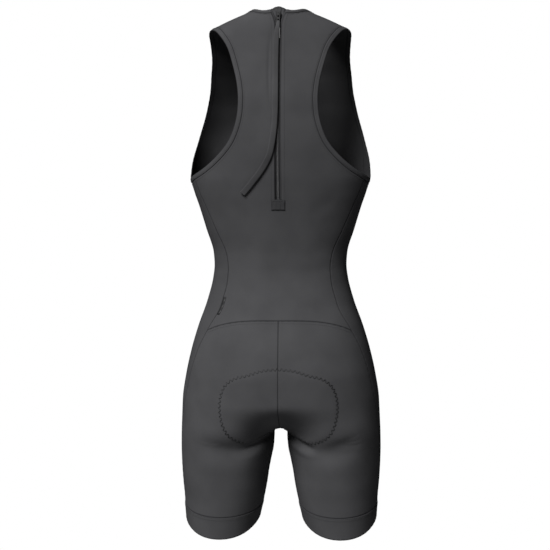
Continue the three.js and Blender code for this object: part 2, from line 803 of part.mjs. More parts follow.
const slitEndRow = CELLS.slitBelow;
const sliderFoot = rowDown(SLIDER.down + SLIDER.length / 2);
const wholeRows = (from, to) => {
  const inside = backFacets.map((_, row) => row).filter((row) => row > from && row < to);
  return [from, ...inside, to];
};
const tapeGrid = zipStrip(
  [TAPE.inner, SLIT_HALF, TAPE.outer],
  wholeRows(slitEndRow - STRIP_ROWS.tapeBelowSlit, backFacets.length - STRIP_ROWS.tapeUnderNeck),
);
const coilGrid = zipStrip(
  [-COIL.half, COIL.half],
  wholeRows(slitEndRow + STRIP_ROWS.coilShort, sliderFoot - STRIP_ROWS.underSlider),
);
const slitRowHeight = backRun[slitEndRow] - backRun[slitEndRow - 1];
const patchGrid = zipStrip(
  [-TAPE.outer, -SLIT_HALF, SLIT_HALF, TAPE.outer],
  [slitEndRow - PATCH_LENGTH / slitRowHeight, slitEndRow - STRIP_ROWS.patchShort],
);

// The slider's own frame: x across, y out from the back, z up along the zip.
const sliderSeat = onBack(0, rowDown(SLIDER.down));
const sliderFrame = (() => {
  const up = onBack(0, rowDown(SLIDER.down - 4)).at.sub(onBack(0, rowDown(SLIDER.down + 4)).at).normalize();
  const across = new THREE.Vector3(1, 0, 0);
  const out = new THREE.Vector3().crossVectors(up, across).normalize();
  return new THREE.Matrix4().makeBasis(across, out, up).setPosition(sliderSeat.at);
})();

function outline(points) {
  return new THREE.Shape(points.map(([x, y]) => new THREE.Vector2(x, y)));
}

// The slider body, an H section along the zip, and its bail, an arch over the pull tab's bar.
function sliderBody() {
  const { half, plateTop, plateBottom, core, footTop, footBottom, length } = SLIDER;
  const corner = 0.9;
  const section = outline([
    [-half, plateBottom],
    [-core, plateBottom],
    [-core, footTop],
    [-half, footTop],
    [-half, footBottom],
    [half, footBottom],
    [half, footTop],
    [core, footTop],
    [core, plateBottom],
    [half, plateBottom],
    [half, plateTop - corner],
    [half - corner, plateTop],
    [corner - half, plateTop],
    [-half, plateTop - corner],
  ]);
  const body = new THREE.ExtrudeGeometry(section, { depth: length, bevelEnabled: false });
  return body.translate(0, 0, -length / 2);
}

function bailArch() {
  const { half, height, thick, window, leg } = BAIL;
  const foot = SLIDER.plateTop - 0.3; // sunk a little into the plate that it is cast with
  const [reach, top] = [window + leg, SLIDER.plateTop + height];
  const arch = outline([
    [-reach, foot],
    [-window, foot],
    [-window, top],
    [window, top],
    [window, foot],
    [reach, foot],
    [reach, top],
    [window, top + thick],
    [-window, top + thick],
    [-reach, top],
  ]);
  const geometry = new THREE.ExtrudeGeometry(arch, { depth: 2 * half, bevelEnabled: false });
  return geometry.translate(0, 0, -half).rotateY(-Math.PI / 2);
}

const wasm = await Module();
wasm.setup();

function solidFrom(geometry) {
  const bare = geometry.clone();
  bare.deleteAttribute("normal");
  bare.deleteAttribute("uv");
  const merged = mergeVertices(bare, 1e-4);
  return new wasm.Manifold(
    new wasm.Mesh({
      numProp: 3,
      vertProperties: merged.attributes.position.array,
      triVerts: new Uint32Array(merged.index.array),
    }),
  );
}

function geometryFrom(solid) {
  const { vertProperties, triVerts } = solid.getMesh();
  const geometry = new THREE.BufferGeometry();
  geometry.setAttribute("position", new THREE.BufferAttribute(vertProperties, 3));
  geometry.setIndex(new THREE.BufferAttribute(triVerts, 1));
  return geometry;
}

// The pull tab, hanging from the bail by its top bar, with a slot for the leash at its foot.
const HINGE_OUT = SLIDER.plateTop + BAIL.height / 2;
function pullTab() {
  const { half, bar, arm, window, slotTop, slotBottom, end, thick } = TAB;
  const chamfer = 1;
  const plate = outline([
    [-half, bar],
    [half, bar],
    [half, chamfer - end],
    [half - chamfer, -end],
    [chamfer - half, -end],
    [-half, chamfer - end],
  ]);
  const hole = (top, bottom) =>
    new THREE.Path(
      [
        [arm - half, bottom],
        [half - arm, bottom],
        [half - arm, top],
        [arm - half, top],
      ].map(([x, y]) => new THREE.Vector2(x, y)),
    );
  plate.holes.push(hole(-bar, -bar - window), hole(-slotTop, -slotBottom));
  const geometry = new THREE.ExtrudeGeometry(plate, { depth: thick, bevelEnabled: false });
  return geometry.translate(0, 0, -thick / 2).rotateX(Math.PI / 2);
}

// The flap behind the top of the zip, drawn in behind the slider and standing above the neck's edge.
const guardGrid = GUARD.rows.map(({ down, sink }) =>
  even(6).map((t) => {
    const x = mix(-GUARD.half, GUARD.half, t);
    let point = onBack(x, rowDown(Math.max(down, 0)));
    if (down < 0) {
      const rise = -down - GUARD.crown * (x / GUARD.half) ** 2;
      const climb = placeOf(point.at.clone().addScaledVector(sliderUp(), rise))[1];
      point = skinPoint(skinFacing(1, x, climb));
    }
    return { at: lifted(point, -sink), normal: point.normal };
  }),
);

function sliderUp() {
  return new THREE.Vector3().setFromMatrixColumn(sliderFrame, 2);
}

// The leash, a flat webbing swept along its middle line.
function leashGrid() {
  const rows = LEASH.points;
  const stations = rows.map(({ x, z, lift }) => {
    const skin = skinPoint(leaves(new THREE.Vector3(x, 0, z), new THREE.Vector3(0, 1, 0)));
    return lifted(skin, lift);
  });
  const curve = new THREE.CatmullRomCurve3(stations, false, "centripetal");
  const numbered = rows.map((row, i) => ({ ...row, share: i / (rows.length - 1) }));
  const width = through(numbered, "share", "half");
  const twist = through(numbered, "share", "turn");
  return even(LEASH.steps).map((t) => {
    const at = curve.getPoint(t);
    const along = curve.getTangent(t);
    const out = normalAt(onSkin(at)).projectOnPlane(along).normalize();
    out.applyAxisAngle(along, THREE.MathUtils.degToRad(twist(t)));
    const across = new THREE.Vector3().crossVectors(along, out).setLength(width(t));
    return [-1, 0, 1].map((side) => ({ at: at.clone().addScaledVector(across, side), normal: out }));
  });
}

// The seat pad: rows across the middle line, each walked outwards over the skin.
function padGrid() {
  const reach = { back: PAD[PAD.length - 1].along, front: -PAD[0].along };
  const middle = { back: crotchLine(1, WAIST.middle), front: crotchLine(-1, WAIST.frontMiddle) };
  const whole = { back: lengths(middle.back).at(-1), front: lengths(middle.front).at(-1) };
  const halfWidth = through(PAD, "along", "half");
  const [rows, columns] = [18, 5];
  return even(rows).map((t) => {
    const along = mix(-reach.front, reach.back, t);
    const side = along < 0 ? "front" : "back";
    const start = onSkin(pickAlong(middle[side], [Math.abs(along) / whole[side]])[0]);
    const half = [{ at: start, normal: normalAt(start) }];
    const aim = new THREE.Vector3(1, 0, 0);
    const paces = 10;
    const pace = halfWidth(along) / (columns * paces);
    for (let column = 0; column < columns; column++) {
      let at = half[column].at;
      for (let i = 0; i < paces; i++) {
        aim.projectOnPlane(normalAt(at)).normalize();
        at = onSkin(at.clone().addScaledVector(aim, pace));
      }
      half.push(skinPoint(at));
    }
    const other = mirrored([half])[0].reverse().slice(0, -1);
    return [...other, ...half];
  });
}

// The label, a small bare tab in the left side seam at the waist.
function labelGrid() {
  const rows = backGrid.map((row) => row[row.length - 1].at.z);
  const rowAt = (z) => {
    const i = rows.findIndex((_, k) => k < rows.length - 1 && rows[k] <= z && rows[k + 1] > z);
    return i + (z - rows[i]) / (rows[i + 1] - rows[i]);
  };
  const last = backGrid[0].length - 1;
  const beside = (row, across) => {
    const i = Math.floor(row);
    const width = backGrid[i][last].at.distanceTo(backGrid[i][last - 1].at);
    return onFacets(backGrid, row, last - across / width);
  };
  return [LABEL.bottom, (LABEL.bottom + LABEL.top) / 2, LABEL.top].map((z) => [
    beside(rowAt(z), 1 + LABEL.width),
    beside(rowAt(z), 1),
  ]);
}

const MATERIALS = {
  knit: { color: 0x38393b, roughness: 0.62 },
  sideKnit: { color: 0x333436, roughness: 0.62 },
  band: { color: 0x2e2f31, roughness: 0.7 },
  tape: { color: 0x242527, roughness: 0.8 },
  guard: { color: 0x4b4d50, roughness: 0.8 },
  pad: { color: 0x2b2c2e, roughness: 0.9 },
  webbing: { color: 0x1d1e1f, roughness: 0.8 },
  nylon: { color: 0x161718, roughness: 0.4 },
  metal: { color: 0x1a1b1c, roughness: 0.35, metalness: 0.8 },
};

const suit = new THREE.Group();

function add(name, geometry, material, parent = suit) {
  const mesh = new THREE.Mesh(geometry, new THREE.MeshStandardMaterial(MATERIALS[material]));
  mesh.name = name;
  parent.add(mesh);
}

function addPair(name, grid, material, options) {
  add(name + "_left", wall(grid, options), material);
  add(name + "_right", wall(mirrored(grid), options), material);
}

const slitCell = (i, j) => !(j === BACK_HALF && i >= slitEndRow);
const proud = { rise: BOUND_RISE, sink: WALL };
const tapeTop = WALL + TAPE.gap;

add("back_upper", wall(drawnIn(backGrid), { kept: slitCell }), "knit");
add("front_upper", wall(drawnIn(frontGrid)), "knit");
addPair("side", drawnIn(sideGrid), "sideKnit");
addPair("seat", drawnIn(seat.grid), "knit");
addPair("front_leg", drawnIn(frontLeg.grid), "knit");
addPair("leg_band", drawnIn(bandGrid, { ring: true }), "band", { ...proud, ring: true });
addPair("armhole_band", drawnIn(bindingGrid(armholeRing), { ring: true }), "band", { ...proud, ring: true });
add("neck_band", wall(drawnIn(neckGrid), proud), "band");
add("seat_pad", wall(padGrid(), { rise: -PAD_SINK, sink: PAD_SINK + PAD_THICK }), "pad");
addPair("zip_tape", tapeGrid, "tape", { rise: -tapeTop, sink: tapeTop + TAPE.thick });
add("zip_coil", wall(coilGrid, { rise: COIL.rise, sink: COIL.sink }), "nylon");
add("zip_end_patch", wall(patchGrid, { rise: LAY_GAP + 1, sink: -LAY_GAP }), "tape");
add("zip_guard", wall(guardGrid, { sink: GUARD.thick }), "guard");
add("zip_leash", wall(leashGrid(), { rise: LEASH.thick / 2, sink: LEASH.thick / 2 }), "webbing");
add("label_tab", wall(labelGrid(), { rise: LAY_GAP + LABEL.thick, sink: -LAY_GAP }), "webbing");

const slider = new THREE.Group();
slider.applyMatrix4(sliderFrame);
suit.add(slider);
add("zip_slider", geometryFrom(solidFrom(sliderBody()).add(solidFrom(bailArch()))), "metal", slider);
const tab = new THREE.Group();
tab.position.y = HINGE_OUT;
slider.add(tab);
add("zip_pull_tab", pullTab(), "metal", tab);

export default suit;
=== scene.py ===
# A women's one-piece triathlon suit, sleeveless and short-legged, with a zip down the back. It is
# filled out as if worn, with nobody in it. Tables and shapes are in millimetres, +Z up, the back
# towards +Y and the wearer's left towards +X, and every mesh is made in metres in that same frame.

import math

import bpy
import numpy as np
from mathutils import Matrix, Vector


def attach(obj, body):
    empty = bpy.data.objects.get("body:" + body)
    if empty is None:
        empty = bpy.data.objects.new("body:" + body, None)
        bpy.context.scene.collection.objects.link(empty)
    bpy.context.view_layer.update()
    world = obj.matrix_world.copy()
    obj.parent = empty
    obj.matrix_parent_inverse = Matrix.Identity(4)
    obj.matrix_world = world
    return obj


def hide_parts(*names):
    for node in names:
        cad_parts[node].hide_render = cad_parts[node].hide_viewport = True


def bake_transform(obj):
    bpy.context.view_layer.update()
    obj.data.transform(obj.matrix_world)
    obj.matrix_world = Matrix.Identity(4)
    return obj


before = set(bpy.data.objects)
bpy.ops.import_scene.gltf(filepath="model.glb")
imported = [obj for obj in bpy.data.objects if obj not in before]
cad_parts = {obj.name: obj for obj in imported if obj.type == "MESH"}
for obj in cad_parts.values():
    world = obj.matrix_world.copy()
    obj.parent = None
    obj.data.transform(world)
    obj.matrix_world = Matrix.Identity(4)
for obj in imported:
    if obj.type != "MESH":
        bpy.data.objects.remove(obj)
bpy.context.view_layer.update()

# The camera stands behind the suit at chest height and level, with a long lens that is shifted down.
scene = bpy.context.scene
camera = bpy.data.objects.new("camera", bpy.data.cameras.new("camera"))
scene.collection.objects.link(camera)
scene.camera = camera
camera.data.sensor_width = 36
camera.data.lens = 101.9
camera.data.shift_x, camera.data.shift_y = -0.0094, -0.2393
camera_turn, camera_far, camera_height = math.radians(182.5), 2.598, -0.21
camera.location = (camera_far * math.sin(camera_turn), -camera_far * math.cos(camera_turn), camera_height)
camera.rotation_euler = (math.pi / 2, math.radians(0.18), camera_turn)


def table(columns, rows):
    return dict(zip(columns.split(), np.array(rows, float).T))


def through(rows, key, column):
    """A smooth curve through one column of a table, monotone between its rows."""
    order = np.argsort(rows[key])
    at, value = rows[key][order], rows[column][order]
    slope = np.diff(value) / np.diff(at)
    product, total = slope[:-1] * slope[1:], slope[:-1] + slope[1:]
    inner = np.where(product > 0, 2 * product / np.where(product > 0, total, 1), 0)
    tangent = np.concatenate([slope[:1], inner, slope[-1:]])

    def curve(x):
        x = np.clip(x, at[0], at[-1])
        i = np.clip(np.searchsorted(at, x) - 1, 0, len(at) - 2)
        span = at[i + 1] - at[i]
        t = (x - at[i]) / span
        return (
            value[i] * (2 * t**3 - 3 * t**2 + 1)
            + value[i + 1] * (3 * t**2 - 2 * t**3)
            + span * (tangent[i] * (t**3 - 2 * t**2 + t) + tangent[i + 1] * (t**3 - t**2))
        )

    return curve


# The body form that the suit is cut for: the torso's sections, then those of one leg. half is the
# half-width, back and front the furthest points, and gap half of the space between the legs.
TORSO = table(
    "z half back front square",
    [
        [40, 39, 43, -36, 2],
        [15, 43, 47, -40, 2],
        [8, 53.5, 50, -43, 2],
        [-2, 76.5, 54, -47, 2],
        [-12, 98, 57.5, -51, 2],
        [-22, 116, 61, -55, 2.05],
        [-32, 124, 64, -59, 2.1],
        [-60, 135, 71.5, -71, 2.1],
        [-100, 145, 82, -94, 2.15],
        [-150, 150.5, 90, -117, 2.2],
        [-200, 152, 92, -127, 2.25],
        [-262, 150.5, 88, -128, 2.25],
        [-292, 142.7, 83.5, -122, 2.25],
        [-312, 135.7, 80, -116, 2.25],
        [-352, 123.3, 73.5, -105, 2.25],
        [-392, 111.3, 69, -98, 2.25],
        [-412, 110, 68.5, -96, 2.25],
        [-432, 112.2, 70.5, -96, 2.25],
        [-472, 122.5, 81, -99, 2.25],
        [-512, 136.9, 97, -104, 2.3],
        [-552, 148.7, 110, -105, 2.3],
        [-592, 157.5, 117, -102, 2.35],
        [-632, 163.3, 116, -97, 2.35],
        [-672, 164.8, 108, -92, 2.3],
        [-712, 165.8, 96, -88, 2.2],
    ],
)
LEG = table(
    "z outer gap back front",
    [
        [-560, 150, -10, 108, -100],
        [-620, 161.9, 4, 107, -96],
        [-660, 164.5, 8, 103, -92],
        [-692, 165.6, 10.5, 97, -89],
        [-712, 165.8, 11.8, 93, -87],
        [-732, 165.3, 15.8, 90, -85.5],
        [-752, 164.3, 19.8, 87, -84],
        [-772, 162.8, 22.8, 84.5, -82],
        [-792, 160.8, 26.6, 81.5, -80],
        [-812, 159.6, 31.1, 79, -78],
        [-832, 158, 35.8, 76.5, -76],
        [-880, 154, 46, 72, -72],
    ],
)
torso = {name: through(TORSO, "z", name) for name in ("half", "back", "front", "square")}
leg = {name: through(LEG, "z", name) for name in ("outer", "gap", "back", "front")}


def smoothstep(x, low, high):
    t = np.clip((x - low) / (high - low), 0, 1)
    return t * t * (3 - 2 * t)


def oval(x, y, half, back, front, square):
    depth = np.where(y > 0, back, -front)
    size = (np.abs(x / half) ** square + np.abs(y / depth) ** square) ** (1 / square)
    return (size - 1) * np.minimum(half, np.minimum(back, -front))


def form(p):
    """The body form as one function, negative inside it."""
    x, y, z = p[..., 0], p[..., 1], p[..., 2]
    hips = smoothstep(z, -690, -630)
    body = oval(x, y, *(torso[name](z) for name in ("half", "back", "front", "square")))
    outer, gap, back, front = (leg[name](z) for name in ("outer", "gap", "back", "front"))
    middle, half = (outer + gap) / 2, (outer - gap) / 2
    left = oval(x - middle, y, half, back, front, 2.1)
    right = oval(x + middle, y, half, back, front, 2.1)
    near = np.maximum(24 - np.abs(left - right), 0) / 24
    return hips * body + (1 - hips) * (np.minimum(left, right) - near**2 * 6)


def slope_at(p):
    steps = np.eye(3) * 0.4
    return np.stack([(form(p + s) - form(p - s)) / 0.8 for s in steps], axis=-1)


def unit(v):
    return v / np.linalg.norm(v, axis=-1, keepdims=True)


def normal_at(p):
    return unit(slope_at(p))


def on_skin(p):
    for _ in range(8):
        slope = slope_at(p)
        p = p - slope * (form(p) / (slope**2).sum(-1))[..., None]
    return p


def leaves(origin, ray):
    """Where rays from inside the form leave it."""
    origin, ray = np.broadcast_arrays(origin, ray)
    far = np.full(origin.shape[:-1], 4.0)
    for _ in range(60):
        inside = form(origin + ray * far[..., None]) < 0
        if not inside.any():
            break
        far = np.where(inside, far + 4, far)
    near = far - 4
    for _ in range(18):
        middle = (near + far) / 2
        inside = form(origin + ray * middle[..., None]) < 0
        near, far = np.where(inside, middle, near), np.where(inside, far, middle)
    return origin + ray * ((near + far) / 2)[..., None]


# Places on the skin are a turn about the body's or leg's axis, from the left side towards the back,
# and a climb from the chest: level rays below it, a fan of rays above it.
FAN_Z, FAN_REACH = -150, 110


def axis_x(z):
    return (leg["outer"](z) + leg["gap"](z)) / 2 * (1 - smoothstep(z, -690, -520))


def points(x, y, z):
    return np.stack(np.broadcast_arrays(x, y, z), axis=-1).astype(float)


def skin_at(turn, climb):
    lift, z = np.maximum(climb, 0) / FAN_REACH, FAN_Z + np.minimum(climb, 0)
    ray = points(np.cos(lift) * np.cos(turn), np.cos(lift) * np.sin(turn), np.sin(lift))
    return leaves(points(axis_x(z), 0, z), ray)


def skin_facing(facing, x, climb):
    lift, z = np.maximum(climb, 0) / FAN_REACH, FAN_Z + np.minimum(climb, 0)
    return leaves(points(x, 0, z), points(0, facing * np.cos(lift), np.sin(lift)))


def place_of(p, facing=1):
    x, y, z = p[..., 0], p[..., 1], p[..., 2]
    level = np.arctan2(y, x - axis_x(z))
    level = np.where((facing < 0) & (level > math.pi / 2), level - 2 * math.pi, level)
    low = z <= FAN_Z
    turn = np.where(low, level, np.arctan2(y, x))
    fan = np.arctan2(z - FAN_Z, np.hypot(x, y)) * FAN_REACH
    return np.stack([turn, np.where(low, z - FAN_Z, fan)], axis=-1)


def run(line):
    return np.concatenate([[0], np.cumsum(np.linalg.norm(np.diff(line, axis=0), axis=1))])


def fractions(line):
    return run(line) / run(line)[-1]


def pick(line, wanted):
    """Points along a line at the given fractions of its length."""
    at = fractions(line)
    return np.stack([np.interp(wanted, at, line[:, k]) for k in range(line.shape[1])], axis=-1)


def mix(a, b, t):
    return a + (b - a) * t


def spline(given, count, closed=False):
    """Points along a centripetal Catmull-Rom spline, evenly spaced in its own parameter."""
    given = np.asarray(given, float)
    if closed:
        padded = np.concatenate([given[-1:], given, given[:2]])
        spans, at = len(given), np.arange(count) / count * len(given)
    else:
        ends = 2 * given[:1] - given[1:2], 2 * given[-1:] - given[-2:-1]
        padded = np.concatenate([ends[0], given, ends[1]])
        spans, at = len(given) - 1, np.linspace(0, len(given) - 1, count)
    i = np.minimum(at.astype(int), spans - 1)
    t = (at - i)[:, None]
    p0, p1, p2, p3 = (padded[i + k] for k in range(4))
    d0, d1, d2 = (np.sqrt(np.linalg.norm(b - a, axis=1))[:, None] for a, b in ((p0, p1), (p1, p2), (p2, p3)))
    m1 = ((p1 - p0) / d0 - (p2 - p0) / (d0 + d1) + (p2 - p1) / d1) * d1
    m2 = ((p2 - p1) / d1 - (p3 - p1) / (d1 + d2) + (p3 - p2) / d2) * d1
    return p1 + m1 * t + (3 * (p2 - p1) - 2 * m1 - m2) * t**2 + (2 * (p1 - p2) + m1 + m2) * t**3


# The cut: heights of the seams, and grid cells along each stretch of a panel.
WAIST_MIDDLE, WAIST_FRONT, WAIST_SIDE = -496, -500, -515
CUFF_Z, CUFF_DROOP, HEM_Z, HEM_DROOP = -805, 12, -830.5, 23
ZIP_END, SLIT_HALF, BINDING = -301, 4.7, 8.5
WALL, BOUND_RISE = 1.4, 0.5
ACROSS_BACK, ACROSS_FRONT, ACROSS_SIDE = 52, 56, 30
NECK_BACK, NECK_FRONT, SHOULDER = 30, 34, 22
UNDERARM_TO_WAIST, ARMHOLE_ROWS, INSEAM, CROTCH_TO_WAIST = 66, 82, 36, 66
ARMHOLE = [
    [118.5, 0, -23],
    [104, 26, -26],
    [86.5, 52, -48],
    [74.3, 67, -82],
    [66.5, 76, -115],
    [64.4, 80, -142],
    [67.8, 82, -172],
    [78.2, 78, -203],
    [94, 68, -226],
    [115.7, 54, -247],
    [136, 33, -261],
    [150, 0, -267],
    [149.5, -27, -240],
    [141, -52, -207],
    [131, -65, -170],
    [123, -65, -132],
    [120, -55, -98],
    [119, -42, -65],
    [118.5, -22, -38],
]
NECK = [
    [0, 48, 12.5],
    [26, 42, 13],
    [43, 13, 13],
    [48, -8, 8.5],
    [42, -30, -8],
    [24, -47, -25],
    [0, -54, -32],
]
SIDE_SEAMS = table(
    "z back front",
    [
        [-290, 39, -50],
        [-346, 44, -47],
        [-399, 48, -47],
        [-420, 49, -48],
        [-452, 53, -52],
        [-497, 59, -58],
        [-519, 58, -57],
        [-545, 54, -53],
        [-605, 49, -46],
        [-655, 38, -40],
        [-712, 28, -36],
        [-750, 16, -34],
        [-812, 8, -32],
    ],
)


def bound_edge(given):
    """A closed smooth line on the skin, and the seam beside it, one binding width away."""
    fine = 30
    edge = on_skin(spline(on_skin(np.array(given, float)), len(given) * fine, closed=True))
    away = np.cross(np.roll(edge, -1, 0) - np.roll(edge, 1, 0), normal_at(edge))
    away = unit(away) * BINDING
    centre = edge.mean(0)
    flip = ((edge - centre) * away).sum(1) < 0
    return edge, on_skin(edge + np.where(flip[:, None], -away, away))


def stretch(bound, start, stop, cells):
    """Paired edge and seam points from one step to another, evenly spaced along the seam."""
    steps = np.arange(start, stop + 1) % len(bound[0])
    wanted, at = np.linspace(0, 1, cells + 1), fractions(bound[1][steps])
    return [np.stack([np.interp(wanted, at, line[steps, k]) for k in range(3)], -1) for line in bound]


armhole = bound_edge(ARMHOLE)
armhole_back = stretch(armhole, 0, 300, ARMHOLE_ROWS)
armhole_under = stretch(armhole, 300, 390, ACROSS_SIDE)
armhole_front = stretch(armhole, 390, len(armhole[0]), ARMHOLE_ROWS)
neck = bound_edge(NECK + [[-x, y, z] for x, y, z in NECK[-2:0:-1]])
neck_from = int(np.argmax(neck[1][:, 0] >= SLIT_HALF))
neck_back = stretch(neck, neck_from, 60, NECK_BACK)
neck_front = stretch(neck, 60, 180, NECK_FRONT)
for line in neck_back:
    line[0, 0] = SLIT_HALF

ends = place_of(np.stack([armhole_back[1][0], neck_back[1][-1]]))
shoulder = skin_at(*mix(ends[0], ends[1], np.linspace(0, 1, SHOULDER + 1)[:, None]).T)
shoulder[0], shoulder[-1] = armhole_back[1][0], neck_back[1][-1]


def droop(turn):
    return np.maximum(0, np.sin(turn)) ** 1.7


def side_seam(column, corner):
    ends = {key: np.append(SIDE_SEAMS[key], value) for key, value in (("z", corner[2]), (column, corner[1]))}
    depth = through(ends, "z", column)
    at = lambda z: leaves(points(axis_x(z), depth(z), z), points(1.0, 0, 0))
    turn = place_of(at(np.array(CUFF_Z)))[0]
    upper = at(np.linspace(WAIST_SIDE, corner[2], UNDERARM_TO_WAIST + 1))
    upper[-1] = corner
    cells = INSEAM + CROTCH_TO_WAIST
    lower = at(np.linspace(CUFF_Z - CUFF_DROOP * droop(turn), WAIST_SIDE, cells + 1))
    return upper, lower


back_upper_seam, back_lower_seam = side_seam("back", armhole_under[1][0])
front_upper_seam, front_lower_seam = side_seam("front", armhole_under[1][-1])


def waist_seam(facing, middle_z, side_point, shares):
    start, end = facing * math.pi / 2, place_of(side_point, facing)[0]
    climb = mix(middle_z, WAIST_SIDE, shares**4) - FAN_Z
    line = skin_at(mix(start, end, shares), climb)
    line[shares == 0] = skin_facing(facing, 0, np.array(float(middle_z - FAN_Z)))
    line[-1] = side_point
    return line


beside = skin_facing(1, SLIT_HALF, np.array(float(WAIST_MIDDLE - FAN_Z)))
slit_share = (math.pi / 2 - place_of(beside)[0]) / (math.pi / 2 - place_of(back_upper_seam[0])[0])
BEHIND_SLIT = 4
back_shares = mix(slit_share, 1, np.linspace(0, 1, ACROSS_BACK + 1))
seat_shares = np.concatenate([np.linspace(0, slit_share, BEHIND_SLIT + 1)[:-1], back_shares])
back_waist = waist_seam(1, WAIST_MIDDLE, back_upper_seam[0], seat_shares)
front_waist = waist_seam(-1, WAIST_FRONT, front_upper_seam[0], np.linspace(0, 1, ACROSS_FRONT + 1))


def panel_grid(bottom, top, inner, outer, facing=1, top_fade=3):
    """A panel's grid between four edges. Its rows run straight, and take up the bow of the low or
    high edge near it. top_fade says how fast the high edge's bow dies away below it."""
    low, high, left, right = (place_of(edge, facing) for edge in (bottom, top, inner, outer))
    u = ((fractions(bottom) + fractions(top)) / 2)[:, None]
    v = ((fractions(inner) + fractions(outer)) / 2)[:, None, None]
    bow_low, bow_high = (edge - mix(edge[0], edge[-1], u) for edge in (low, high))
    place = mix(left[:, None], right[:, None], u) + bow_low * (1 - v) ** 3 + bow_high * v**top_fade
    grid = skin_at(place[..., 0], place[..., 1])
    grid[:, 0], grid[:, -1], grid[0], grid[-1] = inner, outer, bottom, top
    return grid


def mirrored(grid):
    return grid * np.array([-1, 1, 1])


# Each panel's grid, on the left or for the left half: rows from the hem up, columns outwards.
slit_top = place_of(neck_back[1][0])[1]
SLIT_ROW = 58
slit_climbs = np.concatenate(
    [
        np.linspace(WAIST_MIDDLE, ZIP_END, SLIT_ROW + 1) - FAN_Z,
        np.linspace(ZIP_END - FAN_Z, slit_top, UNDERARM_TO_WAIST + ARMHOLE_ROWS - SLIT_ROW + 1)[1:],
    ]
)
slit_line = skin_facing(1, SLIT_HALF, slit_climbs)
slit_line[0], slit_line[-1] = back_waist[BEHIND_SLIT], neck_back[1][0]
back_grid = panel_grid(
    back_waist[BEHIND_SLIT:],
    np.concatenate([neck_back[1], shoulder[:-1][::-1]]),
    slit_line,
    np.concatenate([back_upper_seam, armhole_back[1][::-1][1:]]),
    top_fade=6,
)
slit_x = np.linspace(-SLIT_HALF, SLIT_HALF, 2 * BEHIND_SLIT + 1)[1:-1]
slit_strip = skin_facing(1, slit_x[None, :], slit_climbs[:, None])
slit_strip[0] = np.concatenate([mirrored(back_waist[1:BEHIND_SLIT][::-1]), back_waist[:BEHIND_SLIT]])
back_panel = np.concatenate([mirrored(back_grid[:, ::-1]), slit_strip, back_grid], axis=1)

front_top = place_of(neck_front[1][-1])[1]
front_climbs = np.concatenate(
    [
        np.linspace(WAIST_FRONT - FAN_Z, -140, UNDERARM_TO_WAIST + 1),
        np.linspace(-140, front_top, ARMHOLE_ROWS + 1)[1:],
    ]
)
front_line = skin_facing(-1, 0, front_climbs)
front_line[-1] = neck_front[1][-1]
front_grid = panel_grid(
    front_waist,
    np.concatenate([neck_front[1][::-1], shoulder[:-1][::-1]]),
    front_line,
    np.concatenate([front_upper_seam, armhole_front[1][1:]]),
    facing=-1,
    top_fade=10,
)
front_panel = np.concatenate([mirrored(front_grid[:, :0:-1]), front_grid], axis=1)


def crotch_line(facing, waist_z):
    down = (1 - np.linspace(0, 1, 61)) * math.pi / 2
    under = leaves(points(0, 0, -600), points(0, facing * np.cos(down), -np.sin(down)))
    above = skin_facing(facing, 0, np.linspace(-600, waist_z, 61)[1:] - FAN_Z)
    return np.concatenate([under, above])


def leg_panel(facing, waist, side, waist_z, shares):
    middle = pick(crotch_line(facing, waist_z), np.linspace(0, 1, CROTCH_TO_WAIST + 1))
    climbs = np.linspace(CUFF_Z, middle[0][2], INSEAM + 1)[:-1] - FAN_Z
    inner = np.concatenate([skin_at(np.full(INSEAM, facing * math.pi), climbs), middle])
    inner[-1] = waist[0]
    turn = mix(facing * math.pi, place_of(side[0], facing)[0], shares)
    cuff = skin_at(turn, CUFF_Z - CUFF_DROOP * droop(turn) - FAN_Z)
    cuff[0], cuff[-1] = inner[0], side[0]
    return panel_grid(cuff, waist, inner, side, facing)


seat_grid = leg_panel(1, back_waist, back_lower_seam, WAIST_MIDDLE, seat_shares)
thigh_grid = leg_panel(-1, front_waist, front_lower_seam, WAIST_FRONT, np.linspace(0, 1, ACROSS_FRONT + 1))
turns = [place_of(seam[0])[0] for seam in (back_lower_seam, front_lower_seam)]
side_turn = mix(turns[0], turns[1], np.linspace(0, 1, ACROSS_SIDE + 1))
side_cuff = skin_at(side_turn, CUFF_Z - CUFF_DROOP * droop(side_turn) - FAN_Z)
side_cuff[0], side_cuff[-1] = back_lower_seam[0], front_lower_seam[0]
side_grid = panel_grid(
    side_cuff,
    armhole_under[1],
    np.concatenate([back_lower_seam, back_upper_seam[1:]]),
    np.concatenate([front_lower_seam, front_upper_seam[1:]]),
)

cuff_ring = np.concatenate([seat_grid[0], side_cuff[1:], thigh_grid[0][::-1][1:]])
hem_turn = place_of(cuff_ring)[:, 0]
hem_ring_z = HEM_Z - HEM_DROOP * droop(hem_turn)
band_grid = np.stack(
    [skin_at(hem_turn, mix(cuff_ring[:, 2], hem_ring_z, t) - FAN_Z) for t in np.linspace(0, 1, 9)]
)
band_grid[0] = cuff_ring

armhole_ring = [
    np.concatenate([back, under[1:], front[1:]])
    for back, under, front in zip(armhole_back, armhole_under, armhole_front)
]
armhole_grid = on_skin(np.stack([mix(armhole_ring[1], armhole_ring[0], t) for t in np.linspace(0, 1, 6)]))
neck_half = [np.concatenate([back, front[1:]]) for back, front in zip(neck_back, neck_front)]
neck_line = [np.concatenate([half, mirrored(half[:-1][::-1])]) for half in neck_half]
neck_grid = on_skin(np.stack([mix(neck_line[1], neck_line[0], t) for t in np.linspace(0, 1, 6)]))

